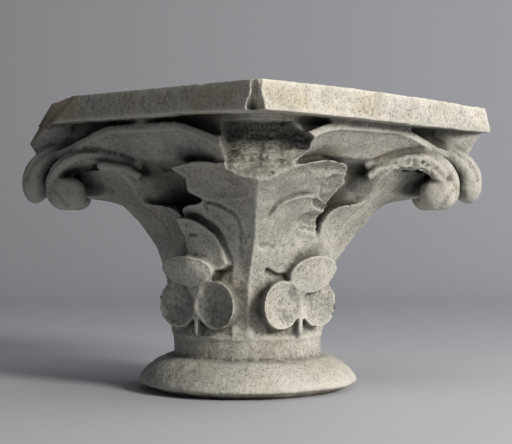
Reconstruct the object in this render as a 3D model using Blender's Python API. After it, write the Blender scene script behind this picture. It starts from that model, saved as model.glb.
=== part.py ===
"""A limestone capital with crockets at its corners, carved from one block. Metres, +Z up.

The shaft's axis is the z axis and the bed of the foot ring is at z = 0. The abacus is a square set
cornerwise: one corner points along -Y, out of the wall, and the block is cut off flat on the plane
y = WALL_Y, where it runs into the masonry. The crocket of the front corner is broken off.

The bell with its leaves is a field of radii over turn and height. A corner's own frame is used for
what stands on it: out is the distance from the axis along the diagonal, aside is square to it.
"""

import math

import bmesh
import bpy
import numpy as np
from mathutils import Matrix, Vector

HEIGHT = 0.313
WALL_Y = 0.062
BELL_SHIFT = 0.006

ABACUS_SIDE = 0.372
ABACUS_THICKNESS = 0.029

BED_RADIUS = 0.101
RING_RADIUS = 0.120
RING_ARRIS_Z = 0.008
RING_HEIGHT = 0.037
RING_FLATNESS = 1.3
NECK_RADIUS = 0.081
NECK_HEIGHT = 0.025
NECK_SWELL = 0.0015

LIP_RADIUS = 0.165
LIP_CORNER_RADIUS = 0.222
LIP_ROUNDING = 0.010
LIP_BAND = 0.0095
LIP_STEP = 0.003
LIP_GAP = 0.0015
LIP_DROP = 0.026
LIP_DROP_TURN = math.radians(31)
SOFFIT_RECESS = 0.013

KEEL_REACH = 0.097
BLADE_HALF_WIDTH = 0.097
BLADE_GAP = 0.040
BLADE_THICKNESS = 0.006
FINGER_RELIEF = 0.0045
CREASE_DEPTH = 0.0045
CREASE_WIDTH = 0.0022
POCKET_DEPTH = 0.030
POCKET_HEIGHT = 0.045

TREFOIL_TURN = math.radians(38.5)
TREFOIL_Z = 0.1065
TREFOIL_OUT = 0.090
TREFOIL_LOBE = 0.026
TREFOIL_CUP = 0.007
TREFOIL_LEAN = 0.017

CROCKET_REACH = 0.252
CROCKET_GAP = 0.015
CROCKET_DEPTH = 0.080
CROCKET_HALF_WIDTH = 0.022
CURL_ASIDE = 0.031
CURL_RADIUS = 0.0185
STRIP_RADIUS = 0.0085
CANOPY_THICKNESS = 0.020
CANOPY_WIDTH = 0.104
STEM_REACH = 0.048
STEM_RISE = 0.015
STEM_HALF_TURN = math.radians(7)
LUMP_HALF_WIDTH = 0.034
LUMP_TIP_HALF_WIDTH = 0.012
LUMP_TIP_DEPTH = 0.036
LUMP_DEPTH = 0.030

ROOT_OUT = 0.112
ROOT_LENGTH = 0.060
ROOT_DROP = 0.033
ROOT_HALF_WIDTH = 0.044
ROOT_STRIP_ASIDE = 0.038
RIB_ASIDE = 0.050
RIB_HALF_WIDTH = 0.010

BREAK_OUT = 0.150
BREAK_FOOT_OUT = 0.178
BREAK_SLOPE = 0.35
BREAK_LEFT = 0.028
BREAK_RIGHT = 0.028
BREAK_RIGHT_SPREAD = 0.024
BREAK_DEPTH = 0.096
BREAK_ROUGHNESS = 0.0025
CORNER_CHIP_TOP = 0.046
CORNER_CHIP_LEAN = math.radians(37)
ARRIS_CHIP = 0.010

SOFFIT_Z = HEIGHT - ABACUS_THICKNESS
LEAF_FOOT_Z = RING_HEIGHT + NECK_HEIGHT
BLADE_HEIGHT = SOFFIT_Z - BLADE_GAP - LEAF_FOOT_Z
ABACUS_REACH = ABACUS_SIDE / math.sqrt(2)
CROCKET_FOOT_Z = SOFFIT_Z - CROCKET_GAP - CROCKET_DEPTH

SEAM = 0.008
TURN_STEPS = 480
LEVEL_STEPS = 150
TUBE_SIDES = 24
RING_SIDES = 80
VOXEL = 0.0024
CARVED_TRIANGLES = 8400

QUARTER = math.pi / 2
FRONT = 0
CORNER_TURNS = [-QUARTER, 0, QUARTER, 2 * QUARTER]
V_ANGLE = math.radians(51)
STEM_ANGLE = math.radians(27)

# Outlines and creases of a leaf blade, as shares of its half width and of its height.
LEFT_BLADE = [
    (0, 0.89), (0.18, 0.95), (0.36, 0.98), (0.60, 0.995), (0.76, 0.985), (0.905, 0.96), (0.845, 0.92),
    (0.77, 0.895), (0.75, 0.85), (0.72, 0.82), (0.59, 0.78), (0.70, 0.76), (0.79, 0.725),
    (0.75, 0.69), (0.75, 0.645), (0.675, 0.60), (0.725, 0.58), (0.70, 0.46), (0.52, 0.41),
    (0.375, 0.375), (0.25, 0.385), (0.18, 0.43), (0.16, 0.20), (0.15, -0.05), (0, -0.05),
]
RIGHT_BLADE = [
    (0, 0.89), (0.23, 0.94), (0.48, 0.98), (0.76, 1.005), (0.95, 0.99), (1.03, 0.95), (1.01, 0.85),
    (0.87, 0.755), (0.825, 0.68), (0.725, 0.625), (0.65, 0.58), (0.66, 0.52), (0.63, 0.445),
    (0.40, 0.41), (0.34, 0.36), (0.21, 0.375), (0.155, 0.39), (0.155, 0.20), (0.15, -0.05), (0, -0.05),
]
SIDE_BLADE = [
    (0, 0.89), (0.18, 0.95), (0.36, 0.967), (0.58, 0.967), (0.66, 0.934), (0.60, 0.88), (0.47, 0.824),
    (0.40, 0.78), (0.46, 0.763), (0.60, 0.758), (0.71, 0.73), (0.70, 0.676), (0.64, 0.615),
    (0.56, 0.555), (0.41, 0.495), (0.23, 0.445), (0.165, 0.346), (0.155, -0.05), (0, -0.05),
]
UPPER_CREASE = [(0.12, 0.60), (0.15, 0.74), (0.33, 0.79), (0.68, 0.81)]
MIDDLE_CREASE = [(0.186, 0.43), (0.20, 0.60), (0.40, 0.66), (0.74, 0.70)]
LOWER_CREASE = [(0.45, 0.60), (0.52, 0.585), (0.60, 0.60), (0.69, 0.63)]
SIDE_CREASE = [(0.30, 0.54), (0.33, 0.62), (0.32, 0.70), (0.28, 0.78)]

# A crocket's curves, as shares of its reach, of its curls' distance aside, and of its depth.
CROCKET_LOBE = [
    (0.595, 0, 0.75), (0.738, 0, 0.84), (0.849, 0, 0.775), (0.913, 0, 0.625), (0.94, 0, 0.425),
    (0.932, 0, 0.24), (0.89, 0, 0.175),
]
CROCKET_STRIP = [
    (0.47, 1.85, 0.61), (0.57, 1.75, 0.70), (0.66, 1.55, 0.74), (0.745, 1.30, 0.69), (0.80, 1.12, 0.58),
    (0.825, 1.0, 0.42), (0.82, 0.93, 0.24),
]
CROCKET_CANOPY = [
    (0.45, 0, 0.66), (0.60, 0, 0.73), (0.73, 0, 0.72), (0.81, 0, 0.60), (0.84, 0, 0.44), (0.84, 0, 0.26),
]
CURL_PLACE = (0.794, 1.0, 0.29)


def smooth_step(low, high, x):
    """0 below low, 1 above high, and a smooth ramp between them."""
    s = np.clip((x - low) / (high - low), 0.0, 1.0)
    return s * s * (3 - 2 * s)


def smooth_max(a, b, blend):
    """The larger of two fields, with a fillet of about blend where they cross."""
    s = np.clip(0.5 + 0.5 * (a - b) / blend, 0, 1)
    return b + (a - b) * s + blend * s * (1 - s)


def bezier(points, count=24):
    """count points along the cubic curve of four control points."""
    s = np.linspace(0, 1, count)[:, None]
    p0, p1, p2, p3 = (np.array(p, float) for p in points)
    return (1 - s) ** 3 * p0 + 3 * s * (1 - s) ** 2 * p1 + 3 * s**2 * (1 - s) * p2 + s**3 * p3


def through(points, per_span=6, closed=False):
    """A smooth curve through all the points."""
    p = np.array(points, float)
    before = np.roll(p, 1, 0) if closed else np.vstack([2 * p[0] - p[1], p[:-1]])
    after = np.roll(p, -1, 0) if closed else np.vstack([p[1:], 2 * p[-1] - p[-2]])
    slopes = (after - before) / 2
    spans = len(p) if closed else len(p) - 1
    s = np.arange(per_span)[:, None] / per_span
    curve = []
    for i in range(spans):
        j = (i + 1) % len(p)
        curve.append(
            (2 * s**3 - 3 * s**2 + 1) * p[i] + (s**3 - 2 * s**2 + s) * slopes[i]
            + (3 * s**2 - 2 * s**3) * p[j] + (s**3 - s**2) * slopes[j]
        )
    if not closed:
        curve.append(p[-1:])
    return np.vstack(curve)


def on_blade(shares):
    """Shares of the blade's size as places: aside from the ridge, and height."""
    aside, up = np.array(shares, float).T
    return np.stack([aside * BLADE_HALF_WIDTH, LEAF_FOOT_Z + up * BLADE_HEIGHT], 1)


def side_of_curve(x, y, curve):
    """Distance from each (x, y) to an open curve, positive on the left of its direction."""
    nearest = np.full(x.shape, np.inf)
    signed = nearest.copy()
    for (ax, ay), (bx, by) in zip(curve[:-1], curve[1:]):
        dx, dy = bx - ax, by - ay
        along = np.clip(((x - ax) * dx + (y - ay) * dy) / (dx * dx + dy * dy), 0, 1)
        gap = np.hypot(x - ax - along * dx, y - ay - along * dy)
        left = np.where(dx * (y - ay) - dy * (x - ax) > 0, 1.0, -1.0)
        signed = np.where(gap < nearest, gap * left, signed)
        nearest = np.minimum(gap, nearest)
    return signed


def depth_inside(x, y, outline):
    """Distance from each (x, y) to a closed outline, positive inside it."""
    nearest = np.full(x.shape, np.inf)
    inside = np.zeros(x.shape, bool)
    for (ax, ay), (bx, by) in zip(outline, np.roll(outline, -1, 0)):
        dx, dy = bx - ax, by - ay
        length = max(dx * dx + dy * dy, 1e-12)
        along = np.clip(((x - ax) * dx + (y - ay) * dy) / length, 0, 1)
        nearest = np.minimum(nearest, np.hypot(x - ax - along * dx, y - ay - along * dy))
        if ay != by:
            inside ^= ((ay > y) != (by > y)) & (x < ax + (y - ay) * dx / dy)
    return np.where(inside, nearest, -nearest)


def bump(x, width):
    """1 at 0 and fading to nothing over about twice the width."""
    return np.exp(-((x / width) ** 2))


def wedge(ridge, turn, half_angle):
    """Radius of a V-shaped keel whose faces leave its ridge at half_angle to the diagonal."""
    return ridge * math.sin(half_angle) / np.sin(half_angle + np.minimum(np.abs(turn), 1.2))


def bell_radius(turn, z):
    """The bell, its lip's band that dips at each corner, and the recess between lip and soffit."""
    square = LIP_RADIUS / np.cos(QUARTER / 2 - np.abs(turn))
    reach = -smooth_max(-square, np.full_like(square, -LIP_CORNER_RADIUS), LIP_ROUNDING)
    dip = LIP_DROP * smooth_step(LIP_DROP_TURN, 0.0, np.abs(turn)) ** 1.2
    band_top = SOFFIT_Z - LIP_GAP - dip
    band_foot = band_top - LIP_BAND
    rise = np.clip((z - LEAF_FOOT_Z) / (band_foot - LEAF_FOOT_Z), 0, 1)
    flare = NECK_RADIUS + (reach - LIP_STEP - NECK_RADIUS) * rise**3
    recess = smooth_step(band_top, band_top + LIP_STEP, z)
    recess = recess * smooth_step(0.5 * QUARTER, 0.38 * QUARTER, np.abs(turn))
    flare = flare + LIP_STEP * smooth_step(band_foot - 0.3 * LIP_STEP, band_foot, z)
    return flare - SOFFIT_RECESS * recess


def ridge_radius(z):
    """The keel's ridge, from the neck to the crocket's root."""
    rise = np.clip((z - LEAF_FOOT_Z) / (0.89 * BLADE_HEIGHT), 0, 1.2)
    return NECK_RADIUS + KEEL_REACH * rise**2.55


def front_relief(aside, z):
    """Creases and fingers of the front leaf, as height over its blade."""
    upper = side_of_curve(aside, z, bezier(on_blade(UPPER_CREASE)))
    middle = side_of_curve(aside, z, bezier(on_blade(MIDDLE_CREASE)))
    lower = side_of_curve(aside, z, bezier(on_blade(LOWER_CREASE)))
    height = -CREASE_DEPTH * bump(upper, CREASE_WIDTH)
    height += 0.4 * CREASE_DEPTH * bump(upper + 2.3 * CREASE_WIDTH, 1.4 * CREASE_WIDTH)
    tongue = smooth_step(0, -2 * CREASE_WIDTH, middle) * (aside > 0.17 * BLADE_HALF_WIDTH)
    height += FINGER_RELIEF * tongue - CREASE_DEPTH * bump(middle - 0.7 * CREASE_WIDTH, CREASE_WIDTH)
    height -= CREASE_DEPTH * bump(lower, 0.8 * CREASE_WIDTH)
    up = (z - LEAF_FOOT_Z) / BLADE_HEIGHT
    dish = bump(up - 0.87, 0.075) * bump(aside / BLADE_HALF_WIDTH - 0.54, 0.29)
    return height - CREASE_DEPTH * dish


def side_relief(aside, z):
    """The one crease of a plain leaf."""
    crease = side_of_curve(aside, z, bezier(on_blade(SIDE_CREASE)))
    return -0.7 * CREASE_DEPTH * bump(crease, CREASE_WIDTH)


def leaf_radius(turn, z, bell, blade, relief):
    """One leaf on the bell: a keeled blade with its outline, and the pockets beside it."""
    face = wedge(ridge_radius(z), turn, V_ANGLE)
    aside = face * np.sin(np.abs(turn))
    inside = depth_inside(aside, z, through(on_blade(blade), closed=True))
    proud = smooth_step(-0.1 * BLADE_THICKNESS, BLADE_THICKNESS / 2, inside)
    blade_top = LEAF_FOOT_Z + BLADE_HEIGHT
    pocket = POCKET_DEPTH * smooth_step(blade_top, blade_top - 0.3 * POCKET_HEIGHT, z)
    pocket = pocket * smooth_step(blade_top - 1.9 * POCKET_HEIGHT, blade_top - POCKET_HEIGHT, z)
    pocket = pocket * smooth_step(0.2 * QUARTER, 0.36 * QUARTER, np.abs(turn))
    ground = bell - pocket
    raised = smooth_max(bell, face, BLADE_THICKNESS) + relief(aside, z)
    return ground + (np.maximum(raised, ground) - ground) * proud


def trefoil_radius(from_front, z, bell):
    """Two cupped lobes that meet at a rib, and a third over them that leans out, each side of the front."""
    off_centre = np.clip(from_front - TREFOIL_TURN, -0.8, 0.8)
    across = TREFOIL_OUT * np.tan(off_centre) / TREFOIL_LOBE
    up = (z - TREFOIL_Z) / TREFOIL_LOBE
    left = np.hypot(across + 1.0, up + 0.45)
    right = np.hypot(across - 1.0, up + 0.45)
    top = np.hypot((across - 0.42) / 1.12, (up - 0.84) / 0.74)
    pair = -smooth_max(-left, -right, 0.34)
    cup = TREFOIL_CUP * (np.clip(1 - left**2, 0, 1) + np.clip(1 - right**2, 0, 1))
    low = bell + (TREFOIL_OUT - cup - bell) * smooth_step(1.05, 0.94, pair)
    lift = TREFOIL_LEAN * (0.5 + 0.5 * np.clip((up - 0.84) / 0.74, -1, 1))
    over = TREFOIL_OUT + lift - 0.9 * TREFOIL_CUP * np.clip(1 - top**2, 0, 1)
    high = bell + (over - bell) * smooth_step(1.05, 0.94, top)
    carved = np.maximum(low, high)
    return np.where(carved > bell, carved / np.cos(off_centre), bell)


def carved_radius(angle, z):
    """Radius of the whole bell, with its leaves, stems and trefoils, at an angle and a height."""
    steps = np.round((angle + QUARTER) / QUARTER)
    turn = angle + QUARTER - steps * QUARTER
    corner = steps.astype(int) % 4
    bell = bell_radius(turn, z)
    left = leaf_radius(turn, z, bell, LEFT_BLADE, front_relief)
    right = leaf_radius(turn, z, bell, RIGHT_BLADE, front_relief)
    side = leaf_radius(turn, z, bell, SIDE_BLADE, side_relief)
    radius = np.where(corner == FRONT, np.where(turn < 0, left, right), side)
    stem_top = CROCKET_FOOT_Z + STEM_RISE
    hook = STEM_REACH * smooth_step(stem_top - STEM_RISE / 2, stem_top + STEM_RISE / 2, z)
    hook = hook * smooth_step(STEM_HALF_TURN, STEM_HALF_TURN / 2, np.abs(turn))
    stem = np.minimum(ridge_radius(z) + hook, 0.75 * CROCKET_REACH)
    stem_face = wedge(stem, turn, STEM_ANGLE) * smooth_step(SOFFIT_Z, SOFFIT_Z - LUMP_DEPTH, z)
    radius = np.where(corner == FRONT, radius, smooth_max(radius, stem_face, BLADE_THICKNESS))
    from_front = np.abs(np.arctan2(np.cos(angle), -np.sin(angle)))
    trefoil = trefoil_radius(from_front, z, bell)
    return np.maximum(radius, trefoil)


def field_shell():
    """The bell as a closed skin: rings of points from inside the neck to inside the abacus."""
    low, high = LEAF_FOOT_Z - SEAM, SOFFIT_Z + SEAM
    angles = np.linspace(-math.pi, math.pi, TURN_STEPS, endpoint=False)
    levels = np.linspace(low, high, LEVEL_STEPS)
    angle, z = np.meshgrid(angles, levels)
    radius = carved_radius(angle, z)
    radius = radius - smooth_step(LEAF_FOOT_Z, low, z) * 2 * SEAM
    shift_foot = LEAF_FOOT_Z + BLADE_HEIGHT / 4
    shift = BELL_SHIFT * smooth_step(shift_foot, LEAF_FOOT_Z + 0.63 * BLADE_HEIGHT, z)
    points = np.stack([radius * np.cos(angle) + shift, radius * np.sin(angle), z], -1)
    return ring_shell(points)


def ring_shell(rings):
    """Points and faces of the closed skin over a stack of rings, each end closed by one face."""
    count, sides = rings.shape[:2]
    faces = [list(range(sides))[::-1], [(count - 1) * sides + k for k in range(sides)]]
    for i in range(count - 1):
        for k in range(sides):
            a, b = i * sides + k, i * sides + (k + 1) % sides
            faces.append([a, b, b + sides, a + sides])
    return rings.reshape(-1, 3), faces


def swept_shell(path, thick, wide):
    """A rounded bar along a path: half as deep as thick and half as broad as wide, per point."""
    path = through(path)
    place = np.linspace(0, 1, len(path))
    thick = np.interp(place, np.linspace(0, 1, len(thick)), thick)
    wide = np.interp(place, np.linspace(0, 1, len(wide)), wide)
    lengths = np.concatenate([[0], np.cumsum(np.linalg.norm(np.diff(path, axis=0), axis=1))])
    to_end = lengths[-1] - lengths
    rounding = np.sqrt(1 - np.clip(1 - to_end / thick[-1], 0, 0.995) ** 2)
    tangent = np.gradient(path, axis=0)
    tangent /= np.linalg.norm(tangent, axis=1)[:, None]
    across = np.array([0.0, 1.0, 0.0]) - tangent * tangent[:, 1:2]
    across /= np.linalg.norm(across, axis=1)[:, None]
    normal = np.cross(tangent, across)
    spin = np.linspace(0, 2 * math.pi, TUBE_SIDES, endpoint=False)
    rings = path[:, None] + (
        np.cos(spin)[None, :, None] * across[:, None] * (wide * rounding)[:, None, None]
        + np.sin(spin)[None, :, None] * normal[:, None] * (thick * rounding)[:, None, None]
    )
    return ring_shell(rings)


def on_crocket(shares):
    """Shares of a crocket's sizes as places in its corner's frame."""
    out, aside, up = np.array(shares, float).T
    return np.stack([out * CROCKET_REACH, aside * CURL_ASIDE, CROCKET_FOOT_Z + up * CROCKET_DEPTH], -1)


def crocket_shells():
    """The curled head of a corner, in the corner's frame: out, aside, up."""
    half = CROCKET_HALF_WIDTH
    canopy = [CANOPY_WIDTH / 2, 0.42 * CANOPY_WIDTH, 0.33 * CANOPY_WIDTH, 0.3 * CANOPY_WIDTH]
    shells = [
        swept_shell(on_crocket(CROCKET_LOBE), [0.6 * half, 0.7 * half, 0.8 * half], [half, half, 0.8 * half]),
        swept_shell(on_crocket(CROCKET_CANOPY), [CANOPY_THICKNESS / 2] * 2, canopy),
        lump_shell(),
    ]
    radii = np.array([1.08, 0.9, 1.15]) * CURL_RADIUS
    widths = [STRIP_RADIUS, 1.3 * STRIP_RADIUS, 1.4 * STRIP_RADIUS]
    for hand in (-1, 1):
        mirror = np.array([1, hand, 1])
        shells.append(swept_shell(on_crocket(CROCKET_STRIP) * mirror, [STRIP_RADIUS] * 2, widths))
        shells.append(ball_shell(on_crocket(CURL_PLACE) * mirror, radii))
    return shells


def broken_root_shells():
    """What is left of the front crocket's root: its middle, its left strip, and the rib of its right one."""
    level = SOFFIT_Z - ROOT_DROP
    end = ROOT_OUT + ROOT_LENGTH
    strip = ROOT_STRIP_ASIDE
    rib = RIB_ASIDE
    thick = 0.6 * ROOT_DROP
    middle = [(ROOT_OUT, 0, level - 0.2 * ROOT_DROP), (end, 0, level), (end + ROOT_LENGTH, 0, level)]
    left = [(ROOT_OUT, -0.85 * strip, level), (end - ROOT_LENGTH / 2, -strip, level), (end, -strip, level)]
    right = [
        (ROOT_OUT, 0.8 * rib, SOFFIT_Z), (ROOT_OUT + 0.25 * ROOT_LENGTH, rib, level + 0.5 * ROOT_DROP),
        (ROOT_OUT + 0.4 * ROOT_LENGTH, 1.12 * rib, level + 0.1 * ROOT_DROP),
        (ROOT_OUT + 0.55 * ROOT_LENGTH, 1.25 * rib, level - 0.3 * ROOT_DROP),
    ]
    return [
        swept_shell(middle, [thick, 1.3 * thick], [1.05 * ROOT_HALF_WIDTH, ROOT_HALF_WIDTH]),
        swept_shell(left, [0.7 * thick, 0.8 * thick], [0.4 * ROOT_HALF_WIDTH, 0.36 * ROOT_HALF_WIDTH]),
        swept_shell(right, [1.2 * RIB_HALF_WIDTH] * 2, [RIB_HALF_WIDTH] * 2),
    ]


def ball_shell(centre, radii):
    """An egg with its own half size along each axis."""
    lean = np.linspace(-QUARTER, QUARTER, 14)[1:-1]
    spin = np.linspace(0, 2 * math.pi, TUBE_SIDES, endpoint=False)
    lean, spin = np.meshgrid(lean, spin, indexing="ij")
    unit = np.stack([np.cos(lean) * np.cos(spin), np.cos(lean) * np.sin(spin), np.sin(lean)], -1)
    return ring_shell(centre + unit * np.array(radii))


def lump_shell():
    """The uncut stone between a crocket's back and the abacus corner, an upturned pyramid."""
    top, foot = SOFFIT_Z + SEAM, SOFFIT_Z - LUMP_DEPTH
    outer = ABACUS_REACH - SEAM / 4
    inner = outer - 2 * LUMP_HALF_WIDTH
    corner = np.array([(inner, LUMP_HALF_WIDTH, top), (inner, -LUMP_HALF_WIDTH, top), (outer, 0, top)])
    tip = 0.945 * CROCKET_REACH
    back = tip - LUMP_TIP_DEPTH
    half = LUMP_TIP_HALF_WIDTH
    lower = np.array([(back, half, foot), (back, -half, foot), (tip, 0, foot)])
    rings = np.stack([lower, corner])[:, ::-1]
    return ring_shell(rings)


def to_corner(points, corner):
    """Points of a corner's frame placed on the capital."""
    turn = CORNER_TURNS[corner]
    x = points[:, 0] * math.cos(turn) - points[:, 1] * math.sin(turn) + BELL_SHIFT
    y = points[:, 0] * math.sin(turn) + points[:, 1] * math.cos(turn)
    return np.stack([x, y, points[:, 2]], 1)


def add_object(name, points, faces):
    """A mesh object of points and faces, its faces turned outward."""
    mesh = bpy.data.meshes.new(name)
    mesh.from_pydata([tuple(p) for p in points], [], faces)
    shape = bmesh.new()
    shape.from_mesh(mesh)
    bmesh.ops.recalc_face_normals(shape, faces=shape.faces)
    shape.to_mesh(mesh)
    shape.free()
    placed = bpy.data.objects.new(name, mesh)
    bpy.context.collection.objects.link(placed)
    return placed


def as_guide(placed):
    """Mark an object as one that only shapes another."""
    placed.display_type = "WIRE"
    placed.hide_render = True
    return placed


def carved_body():
    """Bell and crockets fused into one skin and thinned to few triangles."""
    shells = [field_shell()]
    for corner in range(4):
        for points, faces in broken_root_shells() if corner == FRONT else crocket_shells():
            shells.append((to_corner(points, corner), faces))
    points, faces = [], []
    for shell_points, shell_faces in shells:
        start = sum(len(p) for p in points)
        faces += [[start + i for i in face] for face in shell_faces]
        points.append(shell_points)
    body = add_object("capital", np.vstack(points), faces)
    fuse = body.modifiers.new("fuse", "REMESH")
    fuse.mode = "VOXEL"
    fuse.voxel_size = VOXEL
    fuse.use_smooth_shade = True
    soften = body.modifiers.new("soften", "SMOOTH")
    soften.factor = 0.5
    soften.iterations = 2
    bpy.context.view_layer.update()
    fused = body.evaluated_get(bpy.context.evaluated_depsgraph_get())
    thin = body.modifiers.new("thin", "DECIMATE")
    thin.use_collapse_triangulate = True
    thin.ratio = CARVED_TRIANGLES / (2 * len(fused.data.polygons))
    return body


def foot():
    """Foot ring and neck, turned round the axis: bed, arris, quarter round, neck."""
    curve = np.linspace(0, QUARTER, 7)
    rise = RING_HEIGHT - RING_ARRIS_Z
    run = RING_RADIUS - NECK_RADIUS
    outline = [(BED_RADIUS, 0.0)]
    for a in curve:
        radius = NECK_RADIUS + run * math.cos(a) ** RING_FLATNESS
        outline.append((radius, RING_ARRIS_Z + rise * math.sin(a) ** RING_FLATNESS))
    swell_z = LEAF_FOOT_Z - 0.5 * SEAM
    outline += [(NECK_RADIUS + NECK_SWELL, swell_z), (NECK_RADIUS - SEAM, swell_z + 1.4 * SEAM)]
    spin = np.linspace(0, 2 * math.pi, RING_SIDES, endpoint=False)
    rings = [[(r * math.cos(a), r * math.sin(a), z) for a in spin] for r, z in outline]
    turned = as_guide(add_object("foot", *ring_shell(np.array(rings))))
    for face in list(turned.data.polygons)[2 + RING_SIDES:]:
        face.use_smooth = True
    return turned


def abacus():
    """The square slab, cornerwise, chipped at its front arris."""
    corners = [(ABACUS_REACH * math.cos(a) + BELL_SHIFT, ABACUS_REACH * math.sin(a)) for a in CORNER_TURNS]
    rings = [[(x, y, z) for x, y in corners] for z in (SOFFIT_Z, HEIGHT)]
    slab = add_object("abacus", *ring_shell(np.array(rings)))
    cut = slab.modifiers.new("chip", "BOOLEAN")
    cut.operation = "DIFFERENCE"
    cut.object = front_arris_chip()
    return as_guide(slab)


def block(name, size, centre, turn=None):
    """A box of a full size about a centre, turned by a matrix."""
    square = [(-1, -1), (1, -1), (1, 1), (-1, 1)]
    rings = np.array([[(x, y, z) for x, y in square] for z in (-1, 1)]) * np.array(size) / 2
    placed = add_object(name, *ring_shell(rings))
    if turn:
        placed.matrix_world = Matrix.Translation(Vector(centre)) @ turn
    else:
        placed.location = centre
    return as_guide(placed)


def left_corner_chip():
    """What is lost of the left corner: all beyond a plane that leans inward at its top."""
    size = ABACUS_REACH
    turn = Matrix.Rotation(CORNER_CHIP_LEAN, 4, "Y")
    on_plane = Vector((BELL_SHIFT - ABACUS_REACH + CORNER_CHIP_TOP, 0, HEIGHT))
    centre = on_plane + turn @ Vector((-size / 2, 0, 0))
    return block("left_corner_chip", (size, size, size), centre, turn)


def front_arris_chip():
    """What is knocked off the left side of the front arris."""
    turn = Matrix.Rotation(math.radians(32), 4, "Z") @ Matrix.Rotation(math.radians(-6), 4, "Y")
    level = SOFFIT_Z + 0.4 * ABACUS_THICKNESS
    centre = Vector((BELL_SHIFT - 1.1 * ARRIS_CHIP, ARRIS_CHIP / 4 - ABACUS_REACH, level))
    return block("front_arris_chip", (2 * ARRIS_CHIP, 1.6 * ARRIS_CHIP, 2 * ABACUS_THICKNESS), centre, turn)


def break_roughness(x, z):
    """Uneven bedding of the broken face."""
    beds = 0.6 * np.sin(260 * z + 60 * x) + 0.4 * np.sin(410 * z - 190 * x + 2)
    return BREAK_ROUGHNESS * (beds + 0.5 * np.sin(150 * x + 0.8))


def lost_crocket():
    """All that the front corner has lost: a block whose inner face is the broken one."""
    top = SOFFIT_Z - LIP_GAP
    columns = np.linspace(-0.45, 0.45, 31) * ABACUS_REACH
    levels = np.linspace(top - BREAK_DEPTH, top, 17)
    x, z = np.meshgrid(columns, levels)
    below = top - z
    out = np.minimum(BREAK_OUT + BREAK_SLOPE * below * (0.6 + 10 * below), BREAK_FOOT_OUT)
    right = BREAK_RIGHT + BREAK_RIGHT_SPREAD * smooth_step(0, 0.18 * BREAK_DEPTH, below)
    beyond = np.maximum(np.maximum(-x - BREAK_LEFT, x - right), 0)
    edge = smooth_step(0.54 * BREAK_DEPTH, 0.35 * BREAK_DEPTH, below)
    out = np.minimum(out + 5 * beyond * edge, 1.2 * ABACUS_REACH) + break_roughness(x, z)
    inner = np.stack([x + BELL_SHIFT, -out, z], -1)
    far = inner.copy()
    far[..., 1] = -1.5 * ABACUS_REACH
    rows, cols = x.shape
    points = np.concatenate([inner.reshape(-1, 3), far.reshape(-1, 3)])
    faces = []
    for i in range(rows - 1):
        for k in range(cols - 1):
            a = i * cols + k
            quad = [a, a + 1, a + cols + 1, a + cols]
            faces += [quad, [v + rows * cols for v in quad[::-1]]]
    border = list(range(cols)) + [i * cols + cols - 1 for i in range(1, rows)]
    border += [(rows - 1) * cols + k for k in range(cols - 2, -1, -1)]
    border += [i * cols for i in range(rows - 2, 0, -1)]
    for a, b in zip(border, border[1:] + border[:1]):
        faces.append([b, a, a + rows * cols, b + rows * cols])
    return as_guide(add_object("lost_crocket", points, faces))


def wall_block():
    """The masonry that the block runs into, behind the plane of the wall."""
    size = 4 * ABACUS_REACH
    return block("wall_block", (size, size, size), (0, WALL_Y + size / 2, HEIGHT / 2))


def limestone():
    """Grey limestone, weathered matt."""
    stone = bpy.data.materials.new("weathered_limestone")
    stone.use_nodes = True
    shader = stone.node_tree.nodes["Principled BSDF"]
    shader.inputs["Base Color"].default_value = (0.33, 0.32, 0.28, 1)
    shader.inputs["Roughness"].default_value = 0.9
    shader.inputs["Metallic"].default_value = 0.0
    return stone


for old in list(bpy.data.objects):
    bpy.data.objects.remove(old, do_unlink=True)

capital = carved_body()
for tool, operation in (
    (lost_crocket(), "DIFFERENCE"), (foot(), "UNION"), (abacus(), "UNION"),
    (left_corner_chip(), "DIFFERENCE"), (wall_block(), "DIFFERENCE"),
):
    step = capital.modifiers.new(tool.name, "BOOLEAN")
    step.operation = operation
    step.solver = "MANIFOLD"
    step.object = tool
capital.data.materials.append(limestone())
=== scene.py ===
import math
from itertools import product

import bpy
import numpy as np
from mathutils import Matrix, Vector
from mathutils.bvhtree import BVHTree


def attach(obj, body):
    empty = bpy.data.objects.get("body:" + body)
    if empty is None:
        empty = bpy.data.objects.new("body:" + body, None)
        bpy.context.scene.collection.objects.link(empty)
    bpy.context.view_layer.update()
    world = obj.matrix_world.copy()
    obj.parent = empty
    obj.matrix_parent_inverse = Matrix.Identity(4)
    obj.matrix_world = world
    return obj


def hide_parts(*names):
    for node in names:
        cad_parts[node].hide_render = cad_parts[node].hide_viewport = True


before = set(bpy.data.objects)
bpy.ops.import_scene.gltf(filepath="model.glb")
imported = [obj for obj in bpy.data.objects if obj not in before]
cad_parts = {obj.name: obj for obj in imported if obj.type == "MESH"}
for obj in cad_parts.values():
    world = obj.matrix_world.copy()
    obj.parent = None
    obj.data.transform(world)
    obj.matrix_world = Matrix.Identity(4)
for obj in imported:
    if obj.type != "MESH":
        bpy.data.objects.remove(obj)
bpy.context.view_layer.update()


# The bell and its leaves. The block was cut to a cone first, and the leaves left standing on it as
# keels, so their height is a radius at every turn and level. Sizes are in millimetres: across a leaf
# from its ridge, and up from the bed. The left and right hand of the front leaf differ.
MM = 0.001
QUARTER = math.pi / 2
TOP_Z, SOFFIT_Z = 313.0, 284.0
RING_TOP_Z, LEAF_FOOT_Z = 37.0, 62.0
NECK_RADIUS = 81.0
BELL_SHIFT, BELL_LEAN_SPAN = 6.0, (107, 177)
LIP_RADIUS, LIP_CORNER_RADIUS = 165.0, 222.0
LIP_BAND, LIP_STEP, LIP_DROP, LIP_DROP_TURN = 9.5, 3.0, 26.0, math.radians(32)
LIP_TOP_Z = 282.6
SOFFIT_RECESS = 13.0
KEEL_REACH = 97.0
KEEL_HEIGHT = 162.0
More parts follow.
